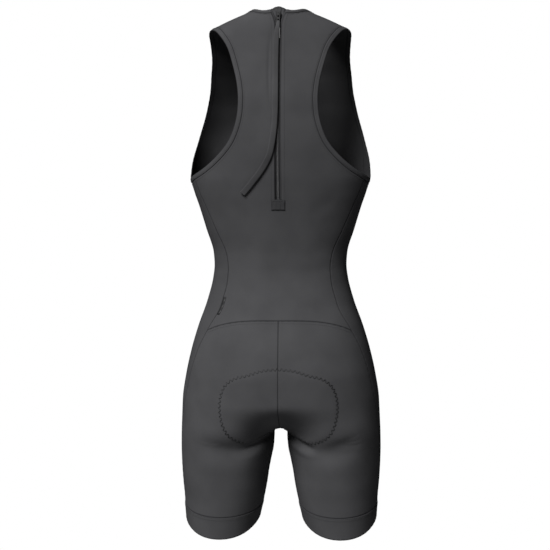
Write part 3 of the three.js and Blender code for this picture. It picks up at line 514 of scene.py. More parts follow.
# Creases and folds of the cloth. Each runs over the skin through points given as x and z
# on its face, stands out or in by its depth within its width, and fades at both ends.
CREASES = [
    # face, depth, width, points
    (1, -4.2, 5.5, [[4, -684], [20, -692], [38, -700], [60, -705]]),
    (1, -7.0, 17, [[26, -696], [62, -708], [94, -706], [134, -692]]),
    (1, -6.0, 17, [[-30, -700], [-64, -710], [-98, -706], [-134, -690]]),
    (1, -1.8, 3.2, [[9, -20], [13, -45], [14.5, -82], [14, -122], [11, -160]]),
    (1, -4.6, 5, [[-6, -684], [-20, -691], [-38, -699], [-56, -705]]),
    (1, -2.2, 4, [[-17, -690], [-30, -697], [-46, -705], [-58, -708]]),
    (1, 2.2, 6, [[-8, -697], [-26, -706], [-46, -715], [-60, -719]]),
    (1, 1.2, 9, [[12, -702], [36, -714], [70, -716], [98, -708]]),
    (1, -1.1, 8, [[-80, -700], [-100, -694], [-124, -684]]),
    (1, -0.7, 12, [[96, -290], [70, -318], [40, -334]]),
    (1, -0.6, 11, [[-96, -288], [-74, -312], [-46, -330]]),
    (1, 0.7, 13, [[-86, -395], [-50, -408], [-14, -404]]),
    (1, 0.6, 14, [[88, -402], [56, -416], [22, -412]]),
    (1, -0.6, 10, [[74, -440], [46, -452], [18, -452]]),
    (-1, -3.0, 8, [[6, -690], [26, -672], [56, -650], [88, -634]]),
    (-1, -2.6, 8, [[-6, -690], [-30, -670], [-60, -654], [-84, -642]]),
    (-1, 1.4, 9, [[8, -676], [34, -652], [66, -634]]),
    (-1, 1.3, 9, [[-8, -674], [-38, -652], [-70, -636]]),
    (-1, -1.5, 8, [[14, -640], [44, -626], [78, -616], [110, -612]]),
    (-1, -1.2, 9, [[-20, -634], [-52, -620], [-92, -608]]),
    (-1, -1.3, 10, [[-70, -412], [-24, -424], [30, -420], [76, -408]]),
    (-1, 1.1, 12, [[-58, -436], [-10, -446], [44, -440]]),
    (-1, -0.9, 11, [[-84, -392], [-50, -398], [-12, -400]]),
    (-1, -1.2, 10, [[122, -222], [98, -240], [66, -250]]),
    (-1, -1.1, 10, [[-124, -226], [-96, -246], [-60, -254]]),
    (-1, 0.9, 12, [[112, -262], [84, -280], [50, -288]]),
    (-1, 0.8, 13, [[-112, -258], [-80, -276], [-44, -290]]),
    (-1, -0.8, 10, [[40, -64], [44, -96], [40, -130]]),
    (-1, -0.7, 10, [[-42, -60], [-48, -94], [-44, -126]]),
]

# The chamois pad stands the seat's knit a little proud inside this outline, given for the left half
# from the middle of the back down to the crotch.
PAD_OUTLINE = [
    [0, -571],
    [27, -574],
    [48, -581],
    [70, -587],
    [83, -596],
    [91, -610],
    [94.5, -630],
    [93.5, -648],
    [89, -666],
    [80.6, -680],
    [66, -690],
    [48.5, -695],
    [33, -691],
    [18.5, -685],
    [8, -682],
]
PAD_PROUD, PAD_STEP = 0.7, 7.0


def on_face(face, given):
    """The skin's points at x and z on the back (1) or the front (-1)."""
    given = np.asarray(given, float)
    return leaves(points(given[:, 0], 0, given[:, 1]), points(0, float(face), 0))


pad_half = on_face(1, spline(PAD_OUTLINE, 360))
pad_line = np.concatenate([mirrored(pad_half[::-1]), pad_half[1:]])


def inside_pad(p):
    """1 inside the pad's outline on the back, 0 outside, by crossings of the outline."""
    x, z = p[..., 0], p[..., 2]
    hits = np.zeros(x.shape, bool)
    ring = pad_line[:, [0, 2]]
    for (x0, z0), (x1, z1) in zip(ring, np.roll(ring, -1, 0)):
        if z0 != z1:
            hits ^= ((z0 > z) != (z1 > z)) & (x < x0 + (x1 - x0) * (z - z0) / (z1 - z0))
    return hits & (p[..., 1] > 0)


def nearest(p, line):
    """Each point's distance to a line, and the share of the line where it is nearest."""
    gap, at = np.full(p.shape[:-1], 1e3), np.zeros(p.shape[:-1])
    for i, q in enumerate(line):
        d = np.linalg.norm(p - q, axis=-1)
        at = np.where(d < gap, i / (len(line) - 1), at)
        gap = np.minimum(d, gap)
    return gap, at


crease_lines = [(depth, width, on_face(face, spline(given, 28))) for face, depth, width, given in CREASES]


def creased(p):
    """How far the cloth at a point of the skin stands out of it."""
    rise = np.zeros(p.shape[:-1])
    for depth, width, line in crease_lines:
        low, high = line.min(0) - 3 * width, line.max(0) + 3 * width
        near = ((p > low) & (p < high)).all(-1)
        if near.any():
            gap, at = nearest(p[near], line)
            fade = np.sin(np.pi * np.clip(at, 0.02, 0.98)) ** 0.8
            rise[near] += depth * fade * np.exp(-((gap / width) ** 2))
    near = (p[..., 1] > 0) & (p[..., 2] < -560) & (p[..., 2] > -720)
    if near.any():
        gap = nearest(p[near], pad_line)[0]
        signed = np.where(inside_pad(p[near]), gap, -gap)
        rise[near] += PAD_PROUD * smoothstep(signed, -PAD_STEP / 2, PAD_STEP)
    return rise


# Above its slider the zip is open, so that the back's two edges part in a V up to the neck.
PART_REACH, PART_FOOT, PART_WIDTH = 10, -16, 26


def parted(p):
    """Moves points of the back's top outwards over the skin, away from the open zip."""
    x, z = p[..., 0], p[..., 2]
    open_share = np.clip((z - PART_FOOT) / (14 - PART_FOOT), 0, 1.1) ** 1.3
    beyond = np.maximum(np.abs(x) - SLIT_HALF, 0)
    push = PART_REACH * open_share * np.exp(-((beyond / PART_WIDTH) ** 2))
    near = (push > 0.01) & (p[..., 1] > 0)
    if not near.any():
        return p
    moved = p.copy()
    climb = place_of(p[near])[..., 1]
    skin = skin_facing(1, x[near], climb)
    moved[near] += skin_facing(1, x[near] + np.sign(x[near]) * push[near], climb) - skin
    return moved


def new_mesh(name, verts, faces, look, uv=None, smooth=True, shade=None):
    """A mesh object from points in millimetres, with a cloth UV in metres and a painted seam shade."""
    mesh = bpy.data.meshes.new(name)
    mesh.from_pydata((np.asarray(verts) * 0.001).tolist(), [], faces)
    mesh.materials.append(look)
    if smooth:
        mesh.polygons.foreach_set("use_smooth", [True] * len(mesh.polygons))
    if uv is not None:
        layer = mesh.uv_layers.new(name="cloth")
        loops = np.empty(len(mesh.loops), int)
        mesh.loops.foreach_get("vertex_index", loops)
        layer.data.foreach_set("uv", (np.asarray(uv) * 0.001)[loops].ravel())
    if shade is not None:
        mesh.attributes.new("seam_shade", "FLOAT", "POINT").data.foreach_set("value", np.ravel(shade))
    mesh.update()
    obj = bpy.data.objects.new(name, mesh)
    scene.collection.objects.link(obj)
    return obj


RIM_SHARES = np.array([0.12, 0.34, 0.66])  # of the cell beside an edge, for its rolled rim


def turned(grid, side):
    """The grid seen from one side, so that its first line is that edge. It is its own inverse."""
    return {
        "low": lambda g: g,
        "high": lambda g: g[::-1],
        "left": lambda g: g.swapaxes(0, 1),
        "right": lambda g: g[::-1, ::-1].swapaxes(0, 1),
    }[side](grid)


def closer_edges(grid, sides):
    for side in sides:
        lines = turned(grid, side)
        extra = mix(lines[0], lines[1], RIM_SHARES[:, None, None])
        grid = turned(np.concatenate([lines[:1], extra, lines[1:]]), side)
    return grid


def steps_along(grid, axis):
    length = np.linalg.norm(np.diff(grid, axis=axis), axis=-1)
    start = np.zeros_like(grid[:1, :, 0] if axis == 0 else grid[:, :1, 0])
    return np.concatenate([start, np.cumsum(length, axis=axis)], axis=axis)


def cloth(name, grid, look, rise=0.0, sink=WALL, roll=0.55, sides=("low", "high", "left", "right"),
          ring=False, slit=None, ease=True, lift=None):
    """A thin closed shell over a grid of the skin. Its edges roll in towards their seams and pucker a
    little beside them. slit says which cells it lacks, by row and column of the given grid."""
    normal = normal_at(grid)
    over, down = steps_along(grid, 1), steps_along(grid, 0)
    gaps = {"low": down, "high": down[-1] - down, "left": over, "right": over[:, -1:] - over}
    out = creased(grid) + rise
    nearest_edge = np.full(grid.shape[:2], 1e3)
    for side in sides:
        gap, along = gaps[side], over if side in ("low", "high") else down
        out += 0.16 * np.exp(-((gap / 5) ** 2)) * np.sin(2 * np.pi * along / 11 + 2.5 * np.sin(along / 41))
        nearest_edge = np.minimum(nearest_edge, gap)
    if slit is not None:
        beyond, below = np.maximum(np.abs(grid[..., 0]) - SLIT_HALF, 0), np.maximum(ZIP_END - grid[..., 2], 0)
        nearest_edge = np.minimum(nearest_edge, np.hypot(beyond, below))
    if lift is not None:
        out += lift
    rim = np.exp(-((nearest_edge / 0.75) ** 2))
    inner = grid + normal * (creased(grid) - sink)[..., None]
    outer = grid + normal * (out - roll * rim)[..., None]
    if ease:
        inner, outer = parted(inner), parted(outer)
    rows, columns = grid.shape[:2]
    uv = np.stack([over - over[:, columns // 2][:, None], down], -1)
    wrap = columns - 1 if ring else columns
    outer, inner, uv, rim = outer[:, :wrap], inner[:, :wrap], uv[:, :wrap].reshape(-1, 2), rim[:, :wrap]
    number = np.arange(rows * wrap).reshape(rows, wrap)
    if ring:
        number = np.concatenate([number, number[:, :1]], axis=1)
    quads = np.stack([number[:-1, :-1], number[:-1, 1:], number[1:, 1:], number[1:, :-1]], -1)
    on = np.ones(quads.shape[:2], bool)
    if slit is not None:
        on[slit] = False
    shift = rows * wrap
    faces = quads[on].tolist() + (quads[on][:, ::-1] + shift).tolist()
    pad = np.pad(on, 1, mode="wrap" if ring else "constant")
    if ring:
        pad[0] = pad[-1] = False
    for (di, dj), (a, b) in {(-1, 0): (0, 1), (1, 0): (2, 3), (0, -1): (3, 0), (0, 1): (1, 2)}.items():
        beside = pad[1 + di : 1 + di + on.shape[0], 1 + dj : 1 + dj + on.shape[1]]
        rim_quads = quads[on & ~beside]
        faces += np.stack(
            [rim_quads[:, b], rim_quads[:, a], rim_quads[:, a] + shift, rim_quads[:, b] + shift], -1
        ).tolist()
    verts = np.concatenate([outer.reshape(-1, 3), inner.reshape(-1, 3)])
    first = quads[on]
    facing = np.cross(verts[first[:, 1]] - verts[first[:, 0]], verts[first[:, 2]] - verts[first[:, 0]])
    if (facing * normal[:, :wrap].reshape(-1, 3)[first[:, 0]]).sum() < 0:
        faces = [face[::-1] for face in faces]
    # The rolled rim also sets seam_shade, which paints shade into the colour along the seams.
    shade = np.concatenate([rim.ravel(), rim.ravel()])
    return new_mesh(name, verts, faces, look, np.concatenate([uv, uv]), shade=shade)


def linear(code):
    """A colour from its sRGB hex code."""
    values = [int(code[i : i + 2], 16) / 255 for i in (1, 3, 5)]
    return (*(v / 12.92 if v <= 0.04045 else ((v + 0.055) / 1.055) ** 2.4 for v in values), 1)


def add(tree, kind, settings=(), links=()):
    """Adds a shader node, sets its properties and inputs, and links its inputs to other outputs."""
    node = tree.nodes.new("ShaderNode" + kind)
    for name, value in dict(settings).items():
        if isinstance(name, str) and hasattr(node, name):
            setattr(node, name, value)
        else:
            node.inputs[name].default_value = value
    for name, source in dict(links).items():
        tree.links.new(source, node.inputs[name])
    return node


def woven(name, dark, light, across, along, depth, roughness, sheen=0.0, turn=0.0, specular=0.07,
          mottle=0.05, seam="#0d0d0e"):
    """A cloth: ribs of the given spacings in millimetres across and along the cut, turned by an
    angle, on a colour that drifts between two shades, with painted shade in the seams in the seam colour."""
    made = bpy.data.materials.new(name)
    made.use_nodes = True
    tree = made.node_tree
    shader = tree.nodes["Principled BSDF"]
    place = add(tree, "TexCoord")
    laid = add(tree, "Mapping", {"Rotation": (0, 0, turn)}, {"Vector": place.outputs["UV"]})
    ribs = []
    for direction, spacing in (("X", across), ("Y", along)):
        # A wave texture's bands are 0.314 apart at scale 1.
        wave = {"bands_direction": direction, "Scale": 0.314159 / (spacing * 0.001), "Distortion": 0.6,
                "Detail": 1.0, "Detail Scale": 0.4}
        ribs.append(add(tree, "TexWave", wave, {"Vector": laid.outputs["Vector"]}))
    weave = add(tree, "Math", {"operation": "MULTIPLY"}, {0: ribs[0].outputs["Fac"], 1: ribs[1].outputs["Fac"]})
    cloud = add(tree, "TexNoise", {"Scale": 1 / mottle, "Detail": 3.0}, {"Vector": place.outputs["Object"]})
    fluff = add(tree, "TexNoise", {"Scale": 700.0, "Detail": 2.0}, {"Vector": place.outputs["Object"]})
    drift = add(tree, "MapRange", {"From Min": 0.3, "From Max": 0.7}, {"Value": cloud.outputs["Fac"]})
    colour = add(tree, "MixRGB", {"Color1": linear(dark), "Color2": linear(light)}, {"Fac": drift.outputs["Result"]})
    valley = add(tree, "MapRange", {"To Min": 0.82, "To Max": 1.12}, {"Value": weave.outputs["Value"]})
    grain = add(tree, "MixRGB", {"blend_type": "MULTIPLY", "Fac": 1.0},
                {"Color1": colour.outputs["Color"], "Color2": valley.outputs["Result"]})
    # Painted shade: the seam_shade attribute pulls the colour towards the dark seam colour where the cloth rolls into a
    # seam.
    edge = add(tree, "Attribute", {"attribute_name": "seam_shade"})
    painted_shade_share = add(tree, "Math", {"operation": "MULTIPLY", 1: 0.7}, {0: edge.outputs["Fac"]})
    seam_shaded_colour = add(tree, "MixRGB", {"Color2": linear(seam)},
                {"Fac": painted_shade_share.outputs["Value"], "Color1": grain.outputs["Color"]})
    uneven = add(tree, "MapRange", {"To Min": roughness - 0.07, "To Max": roughness + 0.07},
                 {"Value": fluff.outputs["Fac"]})
    height = add(tree, "Math", {"operation": "MULTIPLY_ADD", 1: 0.35},
                 {0: fluff.outputs["Fac"], 2: weave.outputs["Value"]})
    bump = add(tree, "Bump", {"Strength": 0.5, "Distance": depth * 0.001}, {"Height": height.outputs["Value"]})
    tree.links.new(seam_shaded_colour.outputs["Color"], shader.inputs["Base Color"])
    tree.links.new(uneven.outputs["Result"], shader.inputs["Roughness"])
    tree.links.new(bump.outputs["Normal"], shader.inputs["Normal"])
    shader.inputs["Specular IOR Level"].default_value = specular
    shader.inputs["Sheen Weight"].default_value = sheen
    shader.inputs["Sheen Roughness"].default_value = 0.5
    return made


def beside(line, distance):
    """The line moved sideways over the skin, to its left as seen from outside."""
    along = np.gradient(line, axis=0)
    return on_skin(line + unit(np.cross(normal_at(line), along)) * distance)


def pieces_of_thread(line, pitch, length, thick, rise):
    """Points and faces of a row of sewn stitches on the cloth, each a grain that dips at its ends."""
    total = run(line)[-1]
    at = (np.arange(int(total / pitch)) + 0.5) * pitch
    ends = [pick(line, np.clip((at + side * length / 2) / total, 0, 1)) for side in (-1, 1)]
    normal = normal_at((ends[0] + ends[1]) / 2)
    along = unit(ends[1] - ends[0])
    across = np.cross(normal, along)
    lift = [rise + creased(end) for end in ends]
    rings = []
    for share, wide, high in ((0.0, 0.15, -0.1), (0.25, 1, 0.75), (0.75, 1, 0.75), (1.0, 0.15, -0.1)):
        centre = mix(ends[0], ends[1], share) + normal * mix(lift[0], lift[1], share)[:, None]
        for side, up in ((-1, -0.3), (0, high), (1, -0.3)):
            rings.append(centre + across * side * wide * thick / 2 + normal * up * thick)
    verts = np.stack(rings, axis=1)
    faces = [[3 * k + i, 3 * k + i + 1, 3 * k + i + 4, 3 * k + i + 3] for k in range(3) for i in range(2)]
    faces += [[3 * k + 2, 3 * k, 3 * k + 3, 3 * k + 5] for k in range(3)] + [[2, 1, 0], [9, 10, 11]]
    shifts = np.arange(len(at)) * 12
    return verts.reshape(-1, 3), [[i + shift for i in face] for shift in shifts.tolist() for face in faces]


def sewn(name, rows, look, moved=False):
    """One mesh of all the stitch rows of a seam. Each row is a line, pitch, length, thickness, rise."""
    verts, faces, count = [], [], 0
    for row in rows:
        more, shapes = pieces_of_thread(*row)
        verts.append(parted(more) if moved else more)
        faces += [[i + count for i in face] for face in shapes]
        count += len(more)
    made = new_mesh(name, np.concatenate(verts), faces, look)
    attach(made, "suit")
    return made


def dress(piece, node, slot):
    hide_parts(node)
    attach(piece, "suit")


# The body panels: matte charcoal warp knit of polyamide and elastane. The knit's wales are about
# 0.35 mm apart and are drawn 0.9 mm apart here, so that they show at all. It is dull, with no gloss.
knit = woven("charcoal_elastane_knit", "#272728", "#2b2b2c", 0.9, 0.7, 0.05, 0.62, specular=0.0)
side_knit = woven("side_elastane_knit", "#262627", "#2a2a2b", 0.9, 0.7, 0.05, 0.62, specular=0.0)

back_cells = closer_edges(back_panel, ("low", "high", "left", "right"))
back_columns = back_cells.shape[1]
slit_cells = np.s_[SLIT_ROW + 3 :, 3 + ACROSS_BACK : back_columns - 4 - ACROSS_BACK]
back = cloth("back_cloth", back_cells, knit, slit=slit_cells)
dress(back, "back_upper", "main_knit")
for name, grid, look, slot, flat, area in (
    ("front_upper", front_panel, knit, "main_knit", (0.4, 0.585), 0.1415),
    ("side_left", side_grid, side_knit, "side_knit", (0.131, 0.611), 0.0519),
    ("side_right", mirrored(side_grid), side_knit, "side_knit", (0.131, 0.611), 0.0519),
    ("seat_left", seat_grid, knit, "main_knit", (0.25, 0.402), 0.0638),
    ("seat_right", mirrored(seat_grid), knit, "main_knit", (0.25, 0.402), 0.0638),
    ("front_leg_left", thigh_grid, knit, "main_knit", (0.231, 0.378), 0.0568),
    ("front_leg_right", mirrored(thigh_grid), knit, "main_knit", (0.231, 0.378), 0.0568),
):
    panel = cloth(name + "_cloth", closer_edges(grid, ("low", "high", "left", "right")), look)
    dress(panel, name, slot)

# The thread: textured black polyester, in the two needle rows of a coverstitch along each seam.
thread = woven("black_polyester_thread", "#0d0d0e", "#131314", 0.5, 0.5, 0.05, 0.55, specular=0.15)
STITCH = (3.1, 1.8, 0.6)  # pitch, length and thickness

# The bindings of the armholes and the neck: a folded strip of the same knit over each raw edge, held
# by a coverstitch with one row on the binding and one on the panel.
band_knit = woven("binding_knit", "#262627", "#2b2b2c", 0.9, 0.7, 0.05, 0.6, specular=0.0)
RIMMED = {"rise": BOUND_RISE, "roll": 1.0, "sides": ("low", "high")}
for side, flip in (("left", 1), ("right", -1)):
    turn_over = np.array([flip, 1, 1])
    binding = cloth(
        f"armhole_binding_{side}",
        closer_edges(armhole_grid, ("low", "high")) * turn_over,
        band_knit,
        ring=True,
        **RIMMED,
    )
    dress(binding, f"armhole_band_{side}", "edge_band")
    seam = np.concatenate([armhole_ring[1], armhole_ring[1][:2]])
    rows = [(beside(seam, offset) * turn_over, *STITCH, rise) for offset, rise in ((2.8, 0.1), (-2.8, 0.55))]
    sewn(f"armhole_stitches_{side}", rows, thread)

neck_binding = cloth("neck_binding", closer_edges(neck_grid, ("low", "high")), band_knit, **RIMMED)
dress(neck_binding, "neck_band", "edge_band")
rows = [(beside(neck_line[1], offset), *STITCH, rise) for offset, rise in ((2.6, 0.1), (-2.6, 0.55))]
sewn("neck_stitches", rows, thread, moved=True)

# The gripper bands: a wide, dense elastic knit that holds each leg down, set on with a coverstitch.
grip_knit = woven("gripper_band_knit", "#252526", "#2a2a2b", 0.8, 1.4, 0.07, 0.62, specular=0.0)
for side, flip in (("left", 1), ("right", -1)):
    turn_over = np.array([flip, 1, 1])
    band = cloth(
        f"leg_gripper_{side}",
        closer_edges(band_grid, ("low", "high")) * turn_over,
        grip_knit,
        ring=True,
        **RIMMED,
    )
    dress(band, f"leg_band_{side}", "gripper_band")
    seam = np.concatenate([cuff_ring, cuff_ring[1:2]])
    rows = [(beside(seam, offset) * turn_over, *STITCH, 0.5) for offset in (1.4, 5)]
    sewn(f"cuff_stitches_{side}", rows, thread)

# The seams at the waist, with two rows of coverstitch above the seam, and down the middle of the
# seat, which is closed from inside.
rows = []
for half, facing in ((back_waist, 1), (front_waist, -1)):
    seam = np.concatenate([mirrored(half[::-1]), half[1:]])
    rows += [(beside(seam, -facing * offset), *STITCH, 0.1) for offset in (-1.3, -4.8)]
sewn("waist_stitches", rows, thread)

# The zigzag that sews the chamois pad to the seat, seen from outside: a stitch up and one down.
ZIG_PITCH, ZIG_HALF = 7.2, 2.7
at = np.arange(0, run(pad_line)[-1], ZIG_PITCH / 2)
zigzag = pick(pad_line, at / run(pad_line)[-1])
zigzag = on_skin(zigzag + unit(np.cross(normal_at(zigzag), np.gradient(zigzag, axis=0)))
                 * (ZIG_HALF * (-1.0) ** np.arange(len(at)))[:, None])
rows = [(np.linspace(a, b, 4), float(np.linalg.norm(b - a)) * 0.98, float(np.linalg.norm(b - a)) * 0.96, 0.8, 0.35)
        for a, b in zip(zigzag[:-1], zigzag[1:])]
sewn("pad_zigzag", rows, thread)


def strip(name, across, climbs, look, rise, sink, moved=True, lift=None):
    """A narrow piece down the zip, over x positions and climbs of the back."""
    grid = skin_facing(1, np.asarray(across, float)[None, :], climbs[:, None])
    return cloth(name, grid, look, rise=rise, sink=sink, roll=0.3, sides=("left", "right"), ease=moved, lift=lift)


# The zip's tapes: black woven polyester behind the slit, each sewn down by a row of lockstitch.
tape_weave = woven("zip_tape_twill", "#1b1b1c", "#222223", 0.8, 0.6, 0.08, 0.75, turn=0.8)
neck_climb = place_of(neck_back[0][0])[1]
tape_climbs = np.linspace(ZIP_END - 6 - FAN_Z, neck_climb - 1, 110)
for side, flip in (("left", 1), ("right", -1)):
    tape = strip(f"zip_tape_twill_{side}", flip * np.linspace(2.5, 11.3, 7), tape_climbs, tape_weave, -2.0, 3.0)
    dress(tape, f"zip_tape_{side}", "zip_tape")
down_zip = np.linspace(ZIP_END - 2 - FAN_Z, slit_top + 3, 160)
rows = [(skin_facing(1, np.full(160, x), down_zip), *STITCH, 0.1) for x in (-10.8, 10.8)]
sewn("zip_stitches", rows, thread, moved=True)

# The closed coil: two spirals of black nylon, whose turns mesh 1.5 mm apart on a woven core.
coil_nylon = woven("coil_nylon", "#29292a", "#343435", 0.5, 0.5, 0.03, 0.4, specular=0.3)
TOOTH_PITCH, TOOTH_LONG, TOOTH_THICK = 1.5, 2.6, 0.95
coil_climbs = np.arange(ZIP_END + 0.6 - FAN_Z, place_of(np.array([0, 57, -5.0]))[1] - 3, TOOTH_PITCH / 2)
tooth_x = np.where(np.arange(len(coil_climbs)) % 2, 0.75, -0.75)
tooth_at = skin_facing(1, tooth_x, coil_climbs)
normal = normal_at(tooth_at)
sideways = unit(np.cross(normal, skin_facing(1, tooth_x, coil_climbs + 1) - tooth_at))
upwards = np.cross(normal, sideways)
verts, sides = [], 6
for share, size in ((-0.5, 0.25), (-0.36, 0.85), (0.0, 1.0), (0.36, 0.85), (0.5, 0.25)):
    for k in range(sides):
        angle = 2 * math.pi * k / sides
        out = normal * (math.cos(angle) * size * TOOTH_THICK / 2 - 1.35)
        verts.append(
            tooth_at + sideways * share * TOOTH_LONG + out + upwards * math.sin(angle) * size * TOOTH_THICK * 0.36
        )
faces = [[k, k + 1 if k % sides < sides - 1 else k + 1 - sides] for k in range(4 * sides)]
faces = [[a, b, b + sides, a + sides] for a, b in faces] + [list(range(sides))[::-1], list(range(24, 30))]
shifts = (np.arange(len(coil_climbs)) * 30).tolist()
coil = new_mesh(
    "zip_coil_turns",
    np.stack(verts, 1).reshape(-1, 3),
    [[i + shift for i in face] for shift in shifts for face in faces],
    coil_nylon,
)
dress(coil, "zip_coil", "nylon_coil")
core = strip("zip_coil_core", np.linspace(-2.3, 2.3, 5), coil_climbs[::3], tape_weave, -1.9, 3.1, moved=False)
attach(core, "suit")

# The patch under the zip's end: a doubled square of the knit, sewn down with a box of stitches.
PATCH_TOP, PATCH_FOOT, PATCH_HALF = -301.5, -318.5, 11.3
patch_knit = woven("patch_knit", "#222223", "#272728", 0.9, 0.7, 0.08, 0.65, specular=0.0)
patch = cloth(
    "zip_end_square",
    closer_edges(
        skin_facing(
            1,
            np.linspace(-PATCH_HALF, PATCH_HALF, 9)[None, :],
            np.linspace(PATCH_FOOT, PATCH_TOP, 8)[:, None] - FAN_Z,
        ),
        ("low", "high", "left", "right"),
    ),
    patch_knit,
    rise=1.1,
    sink=-0.3,
    roll=0.7,
    ease=False,
)
dress(patch, "zip_end_patch", "zip_tape")
box = [(-9.6, PATCH_FOOT + 1.8), (9.6, PATCH_FOOT + 1.8), (9.6, PATCH_TOP - 1.8), (-9.6, PATCH_TOP - 1.8)]
rows = [(on_face(1, np.linspace(a, b, 12)), 2.6, 2.1, 0.55, 1.15) for a, b in zip(box, box[1:] + box[:1])]
rows += [(on_face(1, np.linspace((x, PATCH_FOOT + 1.8), (x, PATCH_TOP - 1.8), 12)), 2.6, 2.1, 0.55, 1.15)
         for x in (-3.4, 3.4)]
smile = [(x, ZIP_END + 1.2 - 0.045 * x**2 + 1.0) for x in np.linspace(-6.5, 6.5, 14)]
rows.append((on_face(1, smile), 1.9, 1.6, 0.6, 1.0))
sewn("patch_stitches", rows, thread)

# The guard: a soft grey flap behind the top of the zip, which keeps the slider off the neck. It
# wrinkles in the open V.
guard_knit = woven("guard_brushed_knit", "#242425", "#2c2c2d", 0.8, 0.7, 0.1, 0.8, specular=0.0)
GUARD_DOWN = table("down sink", [[34, 3.6], [24, 4.9], [18.5, 5.5], [7, 5.5], [3, 4.9], [0, 4.2], [-4.5, 2.6]])
GUARD_HALF, GUARD_CROWN = 16.5, 1.6
GUARD_FOLDS = [[[12, 16], [8, 10], [2, 4]], [[-7, 16], [-6, 8], [-6, -1]], [[-13, 14], [-11, 6], [-10, -4]],
               [[4, 17], [0, 11], [-3, 6]]]
middle_run = skin_facing(1, np.zeros(200), np.linspace(-100, neck_climb, 200))
from_neck = run(middle_run)[-1] - run(middle_run)
guard_rows, guard_sink = [], through(GUARD_DOWN, "down", "sink")
for down in np.linspace(34, -4.5, 40):
    x = np.linspace(-GUARD_HALF, GUARD_HALF, 31)
    fall = GUARD_CROWN * (x / GUARD_HALF) ** 2
    climb = np.interp(max(down, 0), from_neck[::-1], np.linspace(-100, neck_climb, 200)[::-1])
    past = np.maximum(-down, 0) - fall * np.clip(1 - down / 6, 0, 1)
    row = skin_facing(1, x, climb + past * 0.25)
    fold = np.zeros(31)
    for given in GUARD_FOLDS:
        gap, share = nearest(row[:, [0, 2]], spline(given, 20))
        fold += (-1.1 * np.exp(-((gap / 1.3) ** 2)) + 0.5 * np.exp(-(((gap - 2.6) / 1.3) ** 2))) * (
            np.sin(np.pi * np.clip(share, 0.1, 0.9))
        )
    guard_rows.append(row + normal_at(row) * (fold - guard_sink(down))[:, None])
front_face = np.stack(guard_rows)
back_face = front_face - normal_at(front_face) * 1.1
count = front_face.shape[0] * 31
number = np.arange(count).reshape(-1, 31)
quads = np.stack([number[:-1, :-1], number[:-1, 1:], number[1:, 1:], number[1:, :-1]], -1).reshape(-1, 4)
ring = np.concatenate([number[0], number[1:, -1], number[-1, -2::-1], number[-2:0:-1, 0]])
rim = np.stack([np.roll(ring, -1), ring, ring + count, np.roll(ring, -1) + count], -1)
faces = [face[::-1] for face in quads.tolist()] + (quads + count).tolist() + rim[:, ::-1].tolist()
guard_uv = np.stack([front_face[..., 0], front_face[..., 2]], -1).reshape(-1, 2)
guard = new_mesh(
    "zip_guard_flap",
    np.concatenate([front_face.reshape(-1, 3), back_face.reshape(-1, 3)]),
    faces,
    guard_knit,
    np.concatenate([guard_uv, guard_uv]),
)
dress(guard, "zip_guard", "guard_fabric")

# The slider and its pull tab: die-cast zinc under black enamel, with edges that the tumbling has
# rounded. The tab hangs by its bar in the slider's bail.
enamel = woven("black_enamelled_zinc", "#08080a", "#0d0d0e", 2.5, 2.5, 0.02, 0.5, specular=0.06, mottle=0.004)
for node, name in (("zip_slider", "slider_body"), ("zip_pull_tab", "pull_tab_plate")):
    cast = bpy.data.objects.new(name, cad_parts[node].data.copy())
    cast.data.materials.clear()
    cast.data.materials.append(enamel)
    scene.collection.objects.link(cast)
    edge = cast.modifiers.new("rounded_edges", "BEVEL")
    edge.width, edge.segments, edge.limit_method, edge.angle_limit = 0.00028, 3, "ANGLE", math.radians(30)
    cast.data.polygons.foreach_set("use_smooth", [True] * len(cast.data.polygons))
    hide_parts(node)
    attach(cast, "suit" if node == "zip_slider" else "pull_tab")

# The leash: a flat polyester webbing through the pull tab's slot, sewn back on itself and cut bare at
# its far end. It hangs beside the zip, a little off the back, and swings to the wearer's left.
webbing = woven("leash_webbing", "#202021", "#2a2a2b", 0.9, 0.9, 0.16, 0.7, turn=0.785)
LEASH = table(
    "x z lift half turn",
    [
        [0, -10.6, 1.5, 2.6, 0],
        [0.6, -18, 2.5, 3.4, 0],
        [1.8, -27, 3.2, 4.2, -5],
        [3, -38, 3.6, 4.7, -8],
        [3.5, -58, 3.8, 4.75, -10],
        [3.7, -80, 3.8, 4.75, -12],
        [3.7, -104, 3.8, 4.75, -12],
        [3.8, -130, 3.8, 4.75, -12],
        [4.2, -157, 3.8, 4.75, -12],
        [6, -185, 3.8, 4.75, -12],
        [9, -208, 3.8, 4.75, -12],
        [14, -229, 3.8, 4.75, -12],
        [22, -245, 3.8, 4.75, -10],
        [32, -260, 3.6, 4.75, -8],
        [42, -272.5, 3.4, 4.75, -6],
        [50.5, -283, 3.2, 4.75, -4],
        [57.5, -291, 3, 4.75, -2],
    ],
)
stations = on_face(1, np.stack([LEASH["x"], LEASH["z"]], -1))
stations = spline(stations + normal_at(stations) * LEASH["lift"][:, None], 181)
share = np.linspace(0, 1, 181)
LEASH["share"] = np.linspace(0, 1, len(LEASH["x"]))
half, turn = (through(LEASH, "share", name)(share) for name in ("half", "turn"))
along = unit(np.gradient(stations, axis=0))
out = normal_at(on_skin(stations))
out = unit(out - along * (out * along).sum(-1, keepdims=True))
angle = np.radians(turn)[:, None]
out = out * np.cos(angle) + np.cross(along, out) * np.sin(angle)
across = np.cross(along, out)
length = run(stations)
doubled = 0.55 * (1 - smoothstep(length, 15, 17))  # the end that is sewn back on itself
section = [(-1, 0), (-0.97, 0.5), (-0.88, 0.72), (-0.6, 0.66), (-0.3, 0.72), (0, 0.66), (0.3, 0.72), (0.6, 0.66),
           (0.88, 0.72), (0.97, 0.5), (1, 0), (0.97, -0.5), (0.88, -0.72), (0.44, -0.68), (0, -0.72),
           (-0.44, -0.68), (-0.88, -0.72), (-0.97, -0.5)]
wave = 0.25 * np.sin(length / 23) + 0.15 * np.sin(length / 9.1)
rings = []
